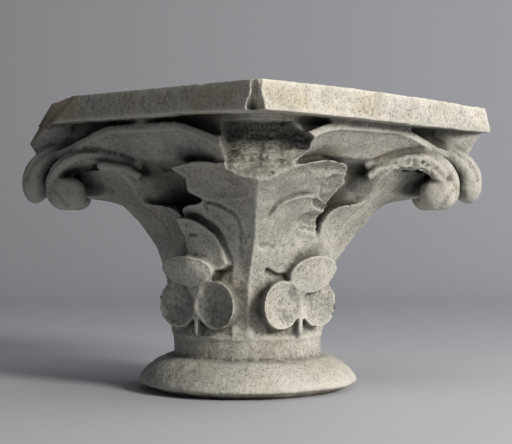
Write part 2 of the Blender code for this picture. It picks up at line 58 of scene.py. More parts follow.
V_ANGLE, STEM_ANGLE = math.radians(51), math.radians(27)
STEM_REACH, STEM_Z, STEM_LIMIT, STEM_HALF_TURN = 48.0, 205.0, 190.0, math.radians(7)
POCKET_DEPTH = 28.0
POCKET_TOP, POCKET_FOOT, POCKET_TURNS = (249, 234), (160, 200), (0.32, 0.55)
LIP_CORNER_FILLET, LIP_DROP_CURVE, BELL_CURVE = 10, 1.2, 3
RECESS_EDGE, RECESS_TURNS, LIP_EDGE = (-0.6, 1.8), (0.78, 0.6), (-0.8, 0.5)
RIDGE_CURVE, RIDGE_LIMIT, WIDEST_TURN = 2.55, 1.2, 1.2
BLADE_EDGE, BLADE_FILLET, EDGE_SWELL, EDGE_SWELL_WIDTH = (-1.2, 1.6), 8, 1.25, 6
SHADOW_WIDTH, SHADOW_DEPTH = 3.0, 3.5
STEM_HOOK_HALF, STEM_FILLET, STEM_FADE = 8, 5, 30
TREFOIL_TURN = math.radians(38.5)
TREFOIL_Z, TREFOIL_OUT, TREFOIL_LOBE = 106.5, 90.0, 26.0
TREFOIL_CUP = 8.0
TREFOIL_TOPS = [(0.25, 0.90, 1.14, 0.64, 15.0), (0.42, 0.76, 1.12, 0.78, 9.0)]
TREFOIL_BLEND = 4.0
PAIR_ASIDE, PAIR_DROP, PAIR_NECK = 1.0, 0.45, 0.30
PAIR_EDGE, TOP_EDGE, STALK_EDGE, HUB_EDGE = (1.05, 0.95), (1.05, 0.96), (1.4, 0.6), (1.2, 0.5)
PAIR_RIM_HEIGHT, PAIR_RIM_PLACE, PAIR_RIM_WIDTH = 0.8, 0.96, 1.5
CREST_HEIGHT, CREST_PLACE, CREST_WIDTH, CREST_FROM = 1.6, 0.95, 1.7, (-0.3, 0.4)
STALK_HALF_WIDTH, STALK_DROP, STALK_HALF_HEIGHT, STALK_SINK = 0.15, 1.0, 0.85, 0.5
HUB_HALF, HUB_RISE, HUB_OUT = 0.5, 0.22, 1.0
TOP_LOBE_OUT, TOP_LOBE_LEAN_FROM, TOP_LOBE_CROWN = 1.5, (-1.5, -0.1), 3.0
TURN_STEP_COUNT, LEVEL_STEP_COUNT = 1500, 300
BURIED = 8.0

LEFT_BLADE = [
    (0, 224), (17, 235), (35, 240), (58, 243), (74, 241), (88, 237), (82, 230), (75, 225), (73, 217),
    (70, 211), (64, 208), (57, 204), (61, 201.5), (68, 200.5), (74, 198), (76.5, 194), (75.5, 190),
    (73, 187.5), (75.5, 184.5), (72.5, 179.5), (69, 174.5), (65.5, 171.5), (70.5, 167.5), (70, 155.5),
    (68, 146), (60, 141), (50, 137), (42.5, 132.5), (36.5, 130), (30, 130), (24.5, 132), (19.5, 137),
    (17, 120), (15.5, 100), (15, 54), (0, 54),
]
RIGHT_BLADE = [
    (0, 224), (7.5, 228), (22, 233.5), (33.5, 237.5), (46.5, 240.5), (57, 242.5), (74, 245),
    (83, 243.5), (92, 242), (98, 238), (100, 235), (98, 232), (97, 228), (98, 217), (92, 207),
    (84, 199), (80.5, 192), (80, 186), (75, 180), (70.5, 176), (64.5, 170), (63, 168), (65, 162.5),
    (64, 157), (65, 150), (61, 143), (51, 139), (39, 137), (36, 132), (33, 128), (26, 127.5),
    (20, 130.5), (15, 133), (15, 118), (15.5, 100), (15, 54), (0, 54),
]
SIDE_BLADE = [
    (0, 224), (18, 235), (35, 238), (56, 238), (64, 232), (58, 222), (46, 212), (38, 204), (45, 201),
    (58, 200), (69, 195), (68, 185), (62, 174), (54, 163), (40, 152), (22, 143), (16, 125),
    (15, 54), (0, 54),
]
TONGUE = [
    (75.5, 185), (66, 187), (58, 185.5), (52.5, 181.8), (42.5, 174.8), (35.5, 167), (29.8, 157.5),
    (25.2, 149), (22.3, 142), (20, 136), (25, 131), (31, 129), (37, 129), (44, 132), (52, 137),
    (62, 141), (70, 145), (72.5, 156), (73, 168), (68, 172), (71, 176), (76, 181),
]
LEFT_UPPER_CREASE = [
    (64, 208), (57, 205), (52, 202.4), (44.3, 201.4), (36, 198.2), (27.5, 194), (21.2, 189.2),
    (17.3, 182.6), (14.6, 172), (13, 163),
]
LEFT_FINGER_CREASES = [
    [(55, 203), (51.5, 197.5), (47.5, 192)],
    [(76, 187.6), (66.3, 187), (59.6, 185.7), (54.9, 184.3)],
    [(67, 172.4), (60, 169), (55, 168), (50.3, 167.6)],
    [(15.5, 171), (14.7, 165), (12.8, 154), (10.5, 143)],
]
RIGHT_UPPER_CREASE = [
    (10.5, 183), (11.8, 186), (14, 190), (16.8, 194.3), (20.8, 199), (26, 202.6), (32.5, 205.7),
    (39.3, 208.4), (47, 210.2), (53.2, 211), (61.2, 211.2),
]
RIGHT_DISH_AXIS = [(30, 222), (38, 227), (49, 232.5), (62, 235.5), (75, 236.5), (88, 235), (97, 233.5)]
LEFT_DISH_AXIS = [(12, 212), (26, 214), (42, 219), (56, 225), (70, 230)]
HOLLOW_FINGER = [
    (33, 180.6), (40.7, 186.5), (51, 191.6), (62, 193.3), (74, 193), (80.4, 192), (80, 186),
    (75, 180), (70, 176), (65, 174.5), (57.7, 175), (52, 176.4), (44, 176.4),
]
HOLLOW_FINGER_LIP = [(43, 175.9), (52.2, 175.4), (57.7, 174.1), (65.1, 173.5), (71, 176)]
TONGUE_SHADOW_RIGHT = [(8.5, 142), (12, 134.5), (19.5, 130), (26.5, 126.8), (34, 127), (37, 132)]
TONGUE_SHADOW_LEFT = [(20.5, 138), (24, 131.5), (30, 128.3), (37, 128), (43, 130.5)]
SLOT = [(5.4, 160.2), (11.7, 159.6), (22, 155.4), (18, 154), (12, 154.6), (5.7, 155)]
SCAR = [
    (67, 219), (72, 226), (81, 229.5), (99, 229.5), (101, 217), (91, 204), (80, 196), (72, 203),
    (66, 208),
]
SCAR_CHIP = [
    (58.2, 205.5), (65.4, 206), (73.4, 199), (80.4, 194), (74.7, 192.2), (67.2, 194.2), (61.4, 198.6),
]
SIDE_CREASE = [(27, 204), (29, 196), (31, 186), (31, 174), (28, 160)]
LEFT_DISH_DEPTH, LEFT_DISH_WIDTH, LEFT_DISH_FADE = 7.5, 14, 0.4
RIGHT_DISH_DEPTH, RIGHT_DISH_WIDTH, RIGHT_DISH_FADE = 6.0, 6.2, 0.5
CREASE_DEPTH, LEFT_CREASE_WIDTH, RIGHT_CREASE_WIDTH = 5.5, 1.9, 1.8
CREASE_LIP_HEIGHT, CREASE_LIP_WIDTH, LEFT_LIP_GAP, RIGHT_LIP_GAP = 2.2, 1.8, 3.4, 3.2
LEFT_LIP_FROM, RIGHT_LIP_FROM, RIGHT_LIP_TO = (0.1, 0.4), (10, 24), (66, 56)
LEFT_LIP_BACK = [(10, 210), (30, 226), (66, 216)]
RIGHT_LIP_BACK = [(62, 226), (30, 236), (8, 210)]
FINGER_CREASE_WIDTH, FINGER_CREASE_DEPTH, FINGER_CREASE_FADE = 1.6, 4.0, 0.5
TONGUE_EDGE, TONGUE_RISE, TONGUE_HOLLOW, TONGUE_HOLLOW_EDGE = (-0.9, 1.3), 4.0, 1.8, (2, 11)
TONGUE_TILT, TONGUE_TILT_FROM, TONGUE_TILT_SPAN = 0.24, 24, 50
TONGUE_TIP_SWELL, TONGUE_TIP_Z, TONGUE_TIP_SPAN = 2.5, 140, 16
MOAT_DEPTH, MOAT_GAP, MOAT_WIDTH, MOAT_TO = 2.6, 1.7, 1.9, (78, 60)
STRIP_RIB_HEIGHT, STRIP_RIB_GAP, STRIP_RIB_WIDTH = 1.1, 4.6, 1.6
STRIP_RIB_FROM, STRIP_RIB_TO = (14, 20), (60, 50)
FINGER_HOLLOW_DEPTH, FINGER_HOLLOW_EDGE, FINGER_HOLLOW_FROM = 7.0, (-0.5, 6.5), (34, 58)
FINGER_LIP_WIDTH, FINGER_LIP_DEPTH = 1.6, 5.0
FINGER_ROLL_HEIGHT, FINGER_ROLL_GAP, FINGER_ROLL_WIDTH = 1.4, 3.4, 3.0
FINGER_ROLL_TOP, FINGER_ROLL_FROM = (172, 166), (40, 52)
ROUGH_SIZE, WORN_ROUGHNESS = 4.0, 1.0
WORN_TOP, WORN_FROM, WORN_FOOT = (178, 166), (22, 40), (132, 140)
SCAR_DEPTH, SCAR_TILT, SCAR_MIDDLE, SCAR_ROUGHNESS, SCAR_EDGE = 6.0, 0.05, 80, 1.2, (-0.7, 1.4)
CHIP_DEPTH, CHIP_EDGE = 4.5, (-0.5, 0.8)
SLOT_DEPTH, SLOT_EDGE = 13.0, (-1.0, 0.8)
SIDE_CREASE_WIDTH, SIDE_CREASE_DEPTH = 1.5, 3.2
SIDE_DISH_DEPTH, SIDE_DISH_PLACE, SIDE_DISH_SIZE = 2.4, (50, 182), (13, 15)


def smooth_step(low, high, x):
    """0 below low, 1 above high, and a smooth ramp between them."""
    s = np.clip((x - low) / (high - low), 0.0, 1.0)
    return s * s * (3 - 2 * s)


def smooth_max(a, b, blend):
    """The larger of two fields, with a fillet of about blend where they cross."""
    s = np.clip(0.5 + 0.5 * (a - b) / blend, 0, 1)
    return b + (a - b) * s + blend * s * (1 - s)


def bump(x, width):
    """1 at 0, fading to nothing over about twice the width."""
    return np.exp(-((x / width) ** 2))


def through(points, per_span=6, closed=False):
    """A smooth curve through all the points."""
    p = np.array(points, float)
    before = np.roll(p, 1, 0) if closed else np.vstack([2 * p[0] - p[1], p[:-1]])
    after = np.roll(p, -1, 0) if closed else np.vstack([p[1:], 2 * p[-1] - p[-2]])
    slopes = (after - before) / 2
    spans = len(p) if closed else len(p) - 1
    s = np.arange(per_span)[:, None] / per_span
    curve = []
    for i in range(spans):
        j = (i + 1) % len(p)
        curve.append(
            (2 * s**3 - 3 * s**2 + 1) * p[i] + (s**3 - 2 * s**2 + s) * slopes[i]
            + (3 * s**2 - 2 * s**3) * p[j] + (s**3 - s**2) * slopes[j]
        )
    if not closed:
        curve.append(p[-1:])
    return np.vstack(curve)


def from_line(x, y, line):
    """Distance of each (x, y) from an open line, and the share of its length where it is nearest."""
    line = through(line, 3)
    nearest = np.full(x.shape, np.inf)
    share = np.zeros(x.shape)
    for i, ((ax, ay), (bx, by)) in enumerate(zip(line[:-1], line[1:])):
        dx, dy = bx - ax, by - ay
        along = np.clip(((x - ax) * dx + (y - ay) * dy) / (dx * dx + dy * dy), 0, 1)
        gap = np.hypot(x - ax - along * dx, y - ay - along * dy)
        share = np.where(gap < nearest, (i + along) / (len(line) - 1), share)
        nearest = np.minimum(gap, nearest)
    return nearest, share


def depth_inside(x, y, outline, smooth=True):
    """Distance from each (x, y) to a closed outline, positive inside it."""
    outline = through(outline, 3, closed=True) if smooth else np.array(outline, float)
    nearest = np.full(x.shape, np.inf)
    inside = np.zeros(x.shape, bool)
    for (ax, ay), (bx, by) in zip(outline, np.roll(outline, -1, 0)):
        dx, dy = bx - ax, by - ay
        length = max(dx * dx + dy * dy, 1e-9)
        along = np.clip(((x - ax) * dx + (y - ay) * dy) / length, 0, 1)
        nearest = np.minimum(nearest, np.hypot(x - ax - along * dx, y - ay - along * dy))
        if ay != by:
            inside ^= ((ay > y) != (by > y)) & (x < ax + (y - ay) * dx / dy)
    return np.where(inside, nearest, -nearest)


def groove(x, y, line, width, depth, fade=0.25):
    """How deep a chisel line goes at each (x, y), dying away towards its ends."""
    gap, share = from_line(x, y, line)
    ends = smooth_step(0, fade, share) * smooth_step(1, 1 - fade / 2, share)
    return depth * bump(gap, width) * ends


def grain(points, size, seed):
    """Uneven height from -1 to 1 at each point, in blobs of about the given size."""
    table = np.random.default_rng(seed).uniform(-1, 1, (32, 32, 32))
    place = points / size
    cell = np.floor(place).astype(int)
    part = place - cell
    part = part * part * (3 - 2 * part)
    total = np.zeros(points.shape[:-1])
    for corner in product((0, 1), repeat=3):
        shares = [part[..., k] if c else 1 - part[..., k] for k, c in enumerate(corner)]
        weight = np.prod(shares, axis=0)
        index = (cell + corner) % 32
        total += weight * table[index[..., 0], index[..., 1], index[..., 2]]
    return total


def bell_radius(turn, z):
    """The bell, its lip's band that dips at each corner, and the recess between lip and soffit."""
    square = LIP_RADIUS / np.cos(QUARTER / 2 - np.abs(turn))
    reach = -smooth_max(-square, np.full_like(square, -LIP_CORNER_RADIUS), LIP_CORNER_FILLET)
    drop = smooth_step(LIP_DROP_TURN, 0.0, np.abs(turn)) ** LIP_DROP_CURVE
    band_top = LIP_TOP_Z - LIP_DROP * drop
    band_foot = band_top - LIP_BAND
    rise = np.clip((z - LEAF_FOOT_Z) / (band_foot - LEAF_FOOT_Z), 0, 1)
    flare = NECK_RADIUS + (reach - LIP_STEP - NECK_RADIUS) * rise**BELL_CURVE
    recess = smooth_step(band_top + RECESS_EDGE[0], band_top + RECESS_EDGE[1], z)
    recess = recess * smooth_step(*RECESS_TURNS, np.abs(turn))
    step = smooth_step(band_foot + LIP_EDGE[0], band_foot + LIP_EDGE[1], z)
    return flare + LIP_STEP * step - SOFFIT_RECESS * recess


def ridge_radius(z):
    """The keel's ridge, from the neck to the crocket's root."""
    rise = np.clip((z - LEAF_FOOT_Z) / KEEL_HEIGHT, 0, RIDGE_LIMIT)
    return NECK_RADIUS + KEEL_REACH * rise**RIDGE_CURVE


def wedge(ridge, turn, half_angle):
    """Radius of a V-shaped keel whose faces leave its ridge at half_angle to the diagonal."""
    return ridge * math.sin(half_angle) / np.sin(half_angle + np.minimum(np.abs(turn), WIDEST_TURN))


def left_relief(t, z):
    """The left hand of the front leaf: a hollow upper lobe, a strip, and a tongue of two fingers."""
    gap, share = from_line(t, z, LEFT_DISH_AXIS)
    height = -LEFT_DISH_DEPTH * bump(gap, LEFT_DISH_WIDTH) * smooth_step(0, LEFT_DISH_FADE, share)
    share = from_line(t, z, LEFT_UPPER_CREASE)[1]
    height -= groove(t, z, LEFT_UPPER_CREASE, LEFT_CREASE_WIDTH, CREASE_DEPTH)
    below = depth_inside(t, z, LEFT_UPPER_CREASE[::-1] + LEFT_LIP_BACK)
    lip = CREASE_LIP_HEIGHT * bump(below + LEFT_LIP_GAP, CREASE_LIP_WIDTH)
    height += lip * smooth_step(*LEFT_LIP_FROM, share)
    tongue = depth_inside(t, z, TONGUE)
    height -= MOAT_DEPTH * bump(tongue + MOAT_GAP, MOAT_WIDTH) * smooth_step(*MOAT_TO, t)
    rib = STRIP_RIB_HEIGHT * bump(tongue + STRIP_RIB_GAP, STRIP_RIB_WIDTH)
    height += rib * smooth_step(*STRIP_RIB_FROM, t) * smooth_step(*STRIP_RIB_TO, t)
    bulge = (
        TONGUE_RISE + TONGUE_TILT * np.clip(t - TONGUE_TILT_FROM, 0, TONGUE_TILT_SPAN)
        + TONGUE_TIP_SWELL * bump(z - TONGUE_TIP_Z, TONGUE_TIP_SPAN)
        - TONGUE_HOLLOW * smooth_step(*TONGUE_HOLLOW_EDGE, tongue)
    )
    height = height + (bulge - height) * smooth_step(*TONGUE_EDGE, tongue)
    for line in LEFT_FINGER_CREASES:
        height -= groove(t, z, line, FINGER_CREASE_WIDTH, FINGER_CREASE_DEPTH, FINGER_CREASE_FADE)
    return height


def right_relief(t, z):
    """The right hand: the same leaf, with a scar, a chip beside it and a slot cut near the ridge."""
    gap, share = from_line(t, z, RIGHT_DISH_AXIS)
    height = -RIGHT_DISH_DEPTH * bump(gap, RIGHT_DISH_WIDTH) * smooth_step(0, RIGHT_DISH_FADE, share)
    height -= groove(t, z, RIGHT_UPPER_CREASE, RIGHT_CREASE_WIDTH, CREASE_DEPTH)
    above = depth_inside(t, z, RIGHT_UPPER_CREASE + RIGHT_LIP_BACK)
    lip = CREASE_LIP_HEIGHT * bump(above + RIGHT_LIP_GAP, CREASE_LIP_WIDTH)
    height += lip * smooth_step(*RIGHT_LIP_FROM, t) * smooth_step(*RIGHT_LIP_TO, t)
    hollow = depth_inside(t, z, HOLLOW_FINGER)
    dip = FINGER_HOLLOW_DEPTH * smooth_step(*FINGER_HOLLOW_EDGE, hollow)
    height -= dip * smooth_step(*FINGER_HOLLOW_FROM, t)
    height -= groove(t, z, HOLLOW_FINGER_LIP, FINGER_LIP_WIDTH, FINGER_LIP_DEPTH)
    roll = FINGER_ROLL_HEIGHT * bump(hollow + FINGER_ROLL_GAP, FINGER_ROLL_WIDTH)
    height += roll * smooth_step(*FINGER_ROLL_TOP, z) * smooth_step(*FINGER_ROLL_FROM, t)
    rough = grain(np.stack([t, z, 0 * t], -1), ROUGH_SIZE, 11)
    scar = depth_inside(t, z, SCAR, smooth=False)
    face = -SCAR_DEPTH + SCAR_TILT * (t - SCAR_MIDDLE) + SCAR_ROUGHNESS * rough
    height += (face - height) * smooth_step(*SCAR_EDGE, scar)
    chip = depth_inside(t, z, SCAR_CHIP, smooth=False)
    height += (-CHIP_DEPTH - height) * smooth_step(*CHIP_EDGE, chip)
    worn = smooth_step(*WORN_TOP, z) * smooth_step(*WORN_FROM, t) * smooth_step(*WORN_FOOT, z)
    height += WORN_ROUGHNESS * rough * worn
    slot = depth_inside(t, z, SLOT, smooth=False)
    return height - SLOT_DEPTH * smooth_step(*SLOT_EDGE, slot)


def side_relief(t, z):
    """The leaf of a side corner: one crease between its stem and its tongue."""
    across, up = t - SIDE_DISH_PLACE[0], z - SIDE_DISH_PLACE[1]
    dish = SIDE_DISH_DEPTH * bump(across, SIDE_DISH_SIZE[0]) * bump(up, SIDE_DISH_SIZE[1])
    return -groove(t, z, SIDE_CREASE, SIDE_CREASE_WIDTH, SIDE_CREASE_DEPTH) - dish


def leaf_radius(turn, z, bell, blade, relief, shadows=()):
    """One leaf on the bell: a keeled blade with its outline, and the deep pocket beside it."""
    face = wedge(ridge_radius(z), turn, V_ANGLE)
    t = face * np.sin(np.abs(turn))
    inside = depth_inside(t, z, blade)
    proud = smooth_step(*BLADE_EDGE, inside)
    pocket = POCKET_DEPTH * smooth_step(*POCKET_TOP, z) * smooth_step(*POCKET_FOOT, z)
    pocket = pocket * smooth_step(*POCKET_TURNS, np.abs(turn))
    ground = bell - pocket
    for line in shadows:
        ground = ground - groove(t, z, line, SHADOW_WIDTH, SHADOW_DEPTH)
    swell = EDGE_SWELL * bump(np.maximum(inside, 0), EDGE_SWELL_WIDTH)
    raised = smooth_max(bell, face, BLADE_FILLET) + relief(t, z) + swell
    return ground + (np.maximum(raised, ground) - ground) * proud


def trefoil_radius(from_front, z, bell, top_lobe):
    """Two cupped lobes that meet at a rib, and a third over them that leans out, on each side of the
    front. Places inside it are in lobe radii."""
    off_centre = np.clip(from_front - TREFOIL_TURN, -0.8, 0.8)
    across = TREFOIL_OUT * np.tan(off_centre) / TREFOIL_LOBE
    up = (z - TREFOIL_Z) / TREFOIL_LOBE
    left = np.hypot(across + PAIR_ASIDE, up + PAIR_DROP)
    right = np.hypot(across - PAIR_ASIDE, up + PAIR_DROP)
    pair = -smooth_max(-left, -right, PAIR_NECK)
    cup = TREFOIL_CUP * (np.clip(1 - left**2, 0, 1) + np.clip(1 - right**2, 0, 1))
    rim_gap = (np.minimum(left, right) - PAIR_RIM_PLACE) * TREFOIL_LOBE
    rim = PAIR_RIM_HEIGHT * bump(rim_gap, PAIR_RIM_WIDTH)
    stalk = np.hypot(across / STALK_HALF_WIDTH, (up + STALK_DROP) / STALK_HALF_HEIGHT)
    hub = np.hypot(across / HUB_HALF, (up - HUB_RISE) / HUB_HALF)
    x, y, wide, tall, lean = top_lobe
    dx, dy = (across - x) / wide, (up - y) / tall
    top = np.hypot(dx, dy)
    rise = np.clip((dy + 1) / 2, 0, 1)
    tilt = lean * (1 - (1 - rise) ** 2) * smooth_step(*TOP_LOBE_LEAN_FROM, dx)
    bulge = TOP_LOBE_OUT + tilt - TOP_LOBE_CROWN * dx**2
    crest = CREST_HEIGHT * bump((top - CREST_PLACE) * TREFOIL_LOBE, CREST_WIDTH)
    crest = crest * smooth_step(*CREST_FROM, dy)
    radius = np.zeros(z.shape)
    for height, edge in (
        (TREFOIL_OUT + rim - cup, smooth_step(*PAIR_EDGE, pair)),
        (TREFOIL_OUT - STALK_SINK, smooth_step(*STALK_EDGE, stalk)),
        (TREFOIL_OUT + HUB_OUT, smooth_step(*HUB_EDGE, hub)),
        (TREFOIL_OUT + bulge + crest, smooth_step(*TOP_EDGE, top)),
    ):
        height = height / np.cos(off_centre)
        raised = np.where(edge > 0, bell + (height - bell) * edge, 0)
        radius = smooth_max(radius, raised, TREFOIL_BLEND)
    return radius


def carved_radius(angle, z):
    """Radius of the whole bell, with its leaves, stems and trefoils, at an angle and a height."""
    steps = np.round((angle + QUARTER) / QUARTER)
    turn = angle + QUARTER - steps * QUARTER
    corner = steps.astype(int) % 4
    radius = np.zeros(angle.shape)
    for which, blade, relief, shadows in (
        ((corner == 0) & (turn < 0), LEFT_BLADE, left_relief, [TONGUE_SHADOW_LEFT]),
        ((corner == 0) & (turn >= 0), RIGHT_BLADE, right_relief, [TONGUE_SHADOW_RIGHT]),
        (corner != 0, SIDE_BLADE, side_relief, []),
    ):
        bell = bell_radius(turn[which], z[which])
        radius[which] = leaf_radius(turn[which], z[which], bell, blade, relief, shadows)
    hook = STEM_REACH * smooth_step(STEM_Z - STEM_HOOK_HALF, STEM_Z + STEM_HOOK_HALF, z)
    hook = hook * smooth_step(STEM_HALF_TURN, STEM_HALF_TURN / 2, np.abs(turn))
    stem = np.minimum(ridge_radius(z) + hook, STEM_LIMIT)
    stem_face = wedge(stem, turn, STEM_ANGLE) * smooth_step(SOFFIT_Z, SOFFIT_Z - STEM_FADE, z)
    radius = np.where(corner != 0, smooth_max(radius, stem_face, STEM_FILLET), radius)
    from_front = np.abs(np.arctan2(np.cos(angle), -np.sin(angle)))
    bell = bell_radius(turn, z)
    for top_lobe, here in zip(TREFOIL_TOPS, (np.cos(angle) < 0, np.cos(angle) >= 0)):
        trefoil = trefoil_radius(from_front[here], z[here], bell[here], top_lobe)
        radius[here] = np.maximum(radius[here], trefoil)
    return radius


def ring_shell(rings):
    """Points and faces of the closed skin over a stack of rings, each end closed by one face."""
    count, sides = rings.shape[:2]
    first = np.arange(count - 1)[:, None] * sides
    here = np.arange(sides)[None, :]
    there = (here + 1) % sides
    quads = np.stack([first + here, first + there, first + there + sides, first + here + sides], -1)
    ends = [list(range(sides))[::-1], [(count - 1) * sides + k for k in range(sides)]]
    return rings.reshape(-1, 3), ends + quads.reshape(-1, 4).tolist()


def bell_shell():
    """The bell as a closed skin: rings of points from inside the neck to inside the abacus."""
    low, high = LEAF_FOOT_Z - BURIED, SOFFIT_Z + BURIED
    angles = np.linspace(-math.pi, math.pi, TURN_STEP_COUNT, endpoint=False)
    angle, z = np.meshgrid(angles, np.linspace(low, high, LEVEL_STEP_COUNT))
    radius = carved_radius(angle, z) - smooth_step(LEAF_FOOT_Z, low, z) * 2 * BURIED
    shift = BELL_SHIFT * smooth_step(*BELL_LEAN_SPAN, z)
    return ring_shell(np.stack([radius * np.cos(angle) + shift, radius * np.sin(angle), z], -1))


shells = [bell_shell()]


# The crockets. At each corner the leaf's tip curls over into a fist: a broad middle lobe, and on each
# hand two strips that run out from the leaf and roll in. Behind each head the mason left a lump of
# stone under the abacus. Points are out along the diagonal, aside from it, and up. After each path come
# half its depth and half its breadth, from its root to its tip.
CROCKET_LOBE = [
    (150, 0, 250), (186, 0, 257), (212, 0, 253), (227, 0, 243), (235, 0, 230), (235, 0, 214),
    (228, 0, 205),
]
LOBE_THICK, LOBE_WIDE = [13, 15, 17, 16], [20, 21, 21, 17]
CANOPY = [(113, 0, 242), (151, 0, 247), (184, 0, 246), (204, 0, 237), (211, 0, 224), (210, 0, 208)]
CANOPY_THICK, CANOPY_WIDE = [9, 9, 10], [50, 46, 36, 31]
UPPER_STRIP = [
    (116, 56, 241), (140, 53, 249), (164, 46, 254), (186, 40, 252), (203, 35, 243), (213, 32, 231),
    (216, 30, 217), (211, 29, 205), (202, 28, 201),
]
UPPER_THICK, UPPER_WIDE = [6, 8, 8.5], [8, 10, 11]
LOWER_STRIP = [
    (119, 60, 229), (133, 59, 237), (150, 56, 240), (166, 53, 241), (180, 49, 240), (192, 44, 234),
    (201, 40, 224), (203, 37, 213),
]
LOWER_THICK, LOWER_WIDE = [5, 6, 6], [7, 8, 8]
STRIP_WEB = [
    (128, 57, 236), (150, 53, 246), (165, 50, 248), (183, 46, 247), (198, 41, 238), (206, 37, 227),
]
WEB_THICK, WEB_WIDE = [6, 8, 7], [8, 11, 9]
LEFT_FRONT, RIGHT_FRONT = (3, 1), (1, -1)
LEFT_STUB_POINTS = 4
FIST_CENTRE, FIST_RADII, FIST_SQUARENESS = (199, 31, 211.5), (19.5, 17.5, 18.5), 0.8
NUB_CENTRE, NUB_RADII = (243, 0, 219), (9, 13, 14)
LUMP_HALF_WIDTH, LUMP_DEPTH = 34.0, 30.0
LUMP_INSET, LUMP_FOOT_TIP, LUMP_FOOT_BACK, LUMP_FOOT_HALF_WIDTH = 2, 238, 202, 12
ABACUS_SIDE = 372.0
ABACUS_REACH = ABACUS_SIDE / math.sqrt(2)
FRONT_ROOT = [(112, 0, 244), (156, 0, 252), (184, 0, 252)]
FRONT_ROOT_LEFT = [(112, -32, 258), (146, -37, 264), (173, -38, 265)]
FRONT_RIB = [(116, 42, 286), (131, 47, 276), (137, 51, 267), (130, 53, 259)]
FRONT_REMAINS = [
    (FRONT_ROOT, [20, 27], [46, 44]),
    (FRONT_ROOT_LEFT, [11, 11], [15, 14]),
    (FRONT_RIB, [11, 12, 11], [9, 11, 12]),
]
TUBE_SIDES, TUBE_STEPS, EGG_RINGS, BLUNTNESS = 40, 10, 28, 0.995
CORNER_TURNS = [-QUARTER, 0, QUARTER, 2 * QUARTER]


def swept_shell(path, thick, wide):
    """A rounded bar along a path: half as deep as thick and half as broad as wide, per point."""
    path = through(path, TUBE_STEPS)
    place = np.linspace(0, 1, len(path))
    thick = np.interp(place, np.linspace(0, 1, len(thick)), thick)
    wide = np.interp(place, np.linspace(0, 1, len(wide)), wide)
    lengths = np.concatenate([[0], np.cumsum(np.linalg.norm(np.diff(path, axis=0), axis=1))])
    to_tip = (lengths[-1] - lengths) / thick[-1]
    rounding = np.sqrt(1 - np.clip(1 - to_tip, 0, BLUNTNESS) ** 2)
    tangent = np.gradient(path, axis=0)
    tangent /= np.linalg.norm(tangent, axis=1)[:, None]
    across = np.array([0.0, 1.0, 0.0]) - tangent * tangent[:, 1:2]
    across /= np.linalg.norm(across, axis=1)[:, None]
    normal = np.cross(tangent, across)
    spin = np.linspace(0, 2 * math.pi, TUBE_SIDES, endpoint=False)
    rings = path[:, None] + (
        np.cos(spin)[None, :, None] * across[:, None] * (wide * rounding)[:, None, None]
        + np.sin(spin)[None, :, None] * normal[:, None] * (thick * rounding)[:, None, None]
    )
    return ring_shell(rings)


def egg_shell(centre, radii, squareness=1.0):
    """An egg with its own half size along each axis, boxier as squareness falls."""
    lean = np.linspace(-QUARTER, QUARTER, EGG_RINGS + 2)[1:-1]
    spin = np.linspace(0, 2 * math.pi, TUBE_SIDES, endpoint=False)
    lean, spin = np.meshgrid(lean, spin, indexing="ij")
    unit = np.stack([np.cos(lean) * np.cos(spin), np.cos(lean) * np.sin(spin), np.sin(lean)], -1)
    unit = np.sign(unit) * np.abs(unit) ** squareness
    return ring_shell(np.array(centre) + unit * np.array(radii))


def lump_shell():
    """The uncut stone behind a crocket, an upturned pyramid under the abacus corner."""
    top, foot = SOFFIT_Z + BURIED, SOFFIT_Z - LUMP_DEPTH
    outer = ABACUS_REACH - LUMP_INSET
    inner = outer - 2 * LUMP_HALF_WIDTH
    upper = [(inner, LUMP_HALF_WIDTH, top), (inner, -LUMP_HALF_WIDTH, top), (outer, 0, top)]
    lower = [
        (LUMP_FOOT_BACK, LUMP_FOOT_HALF_WIDTH, foot), (LUMP_FOOT_BACK, -LUMP_FOOT_HALF_WIDTH, foot),
        (LUMP_FOOT_TIP, 0, foot),
    ]
    return ring_shell(np.array([lower, upper])[:, ::-1])


def crocket_shells(corner):
    """The curled head of a corner, in the corner's own frame. Left of the front, the lower strip is a
    stub. Right of it, the two strips are one broad band with a broken lower edge."""
    heads = [
        swept_shell(CROCKET_LOBE, LOBE_THICK, LOBE_WIDE),
        swept_shell(CANOPY, CANOPY_THICK, CANOPY_WIDE),
        egg_shell(NUB_CENTRE, NUB_RADII),
        lump_shell(),
    ]
    for hand in (1, -1):
        mirror = np.array([1, hand, 1])
        kept = LEFT_STUB_POINTS if (corner, hand) == LEFT_FRONT else len(LOWER_STRIP)
        strips = [
            (UPPER_STRIP, UPPER_THICK, UPPER_WIDE),
            (LOWER_STRIP[:kept], LOWER_THICK, LOWER_WIDE),
        ]
        if (corner, hand) == RIGHT_FRONT:
            strips.append((STRIP_WEB, WEB_THICK, WEB_WIDE))
        for path, thick, wide in strips:
            heads.append(swept_shell(np.array(path) * mirror, thick, wide))
        heads.append(egg_shell(np.array(FIST_CENTRE) * mirror, FIST_RADII, FIST_SQUARENESS))
    return heads


def to_corner(points, corner):
    """Points of a corner's frame placed on the capital."""
    turn = CORNER_TURNS[corner]
    x = points[:, 0] * math.cos(turn) - points[:, 1] * math.sin(turn) + BELL_SHIFT
    y = points[:, 0] * math.sin(turn) + points[:, 1] * math.cos(turn)
    return np.stack([x, y, points[:, 2]], 1)


for path, thick, wide in FRONT_REMAINS:
    points, faces = swept_shell(path, thick, wide)
    shells.append((to_corner(points, 0), faces))
for corner in (1, 2, 3):
    for points, faces in crocket_shells(corner):
        shells.append((to_corner(points, corner), faces))


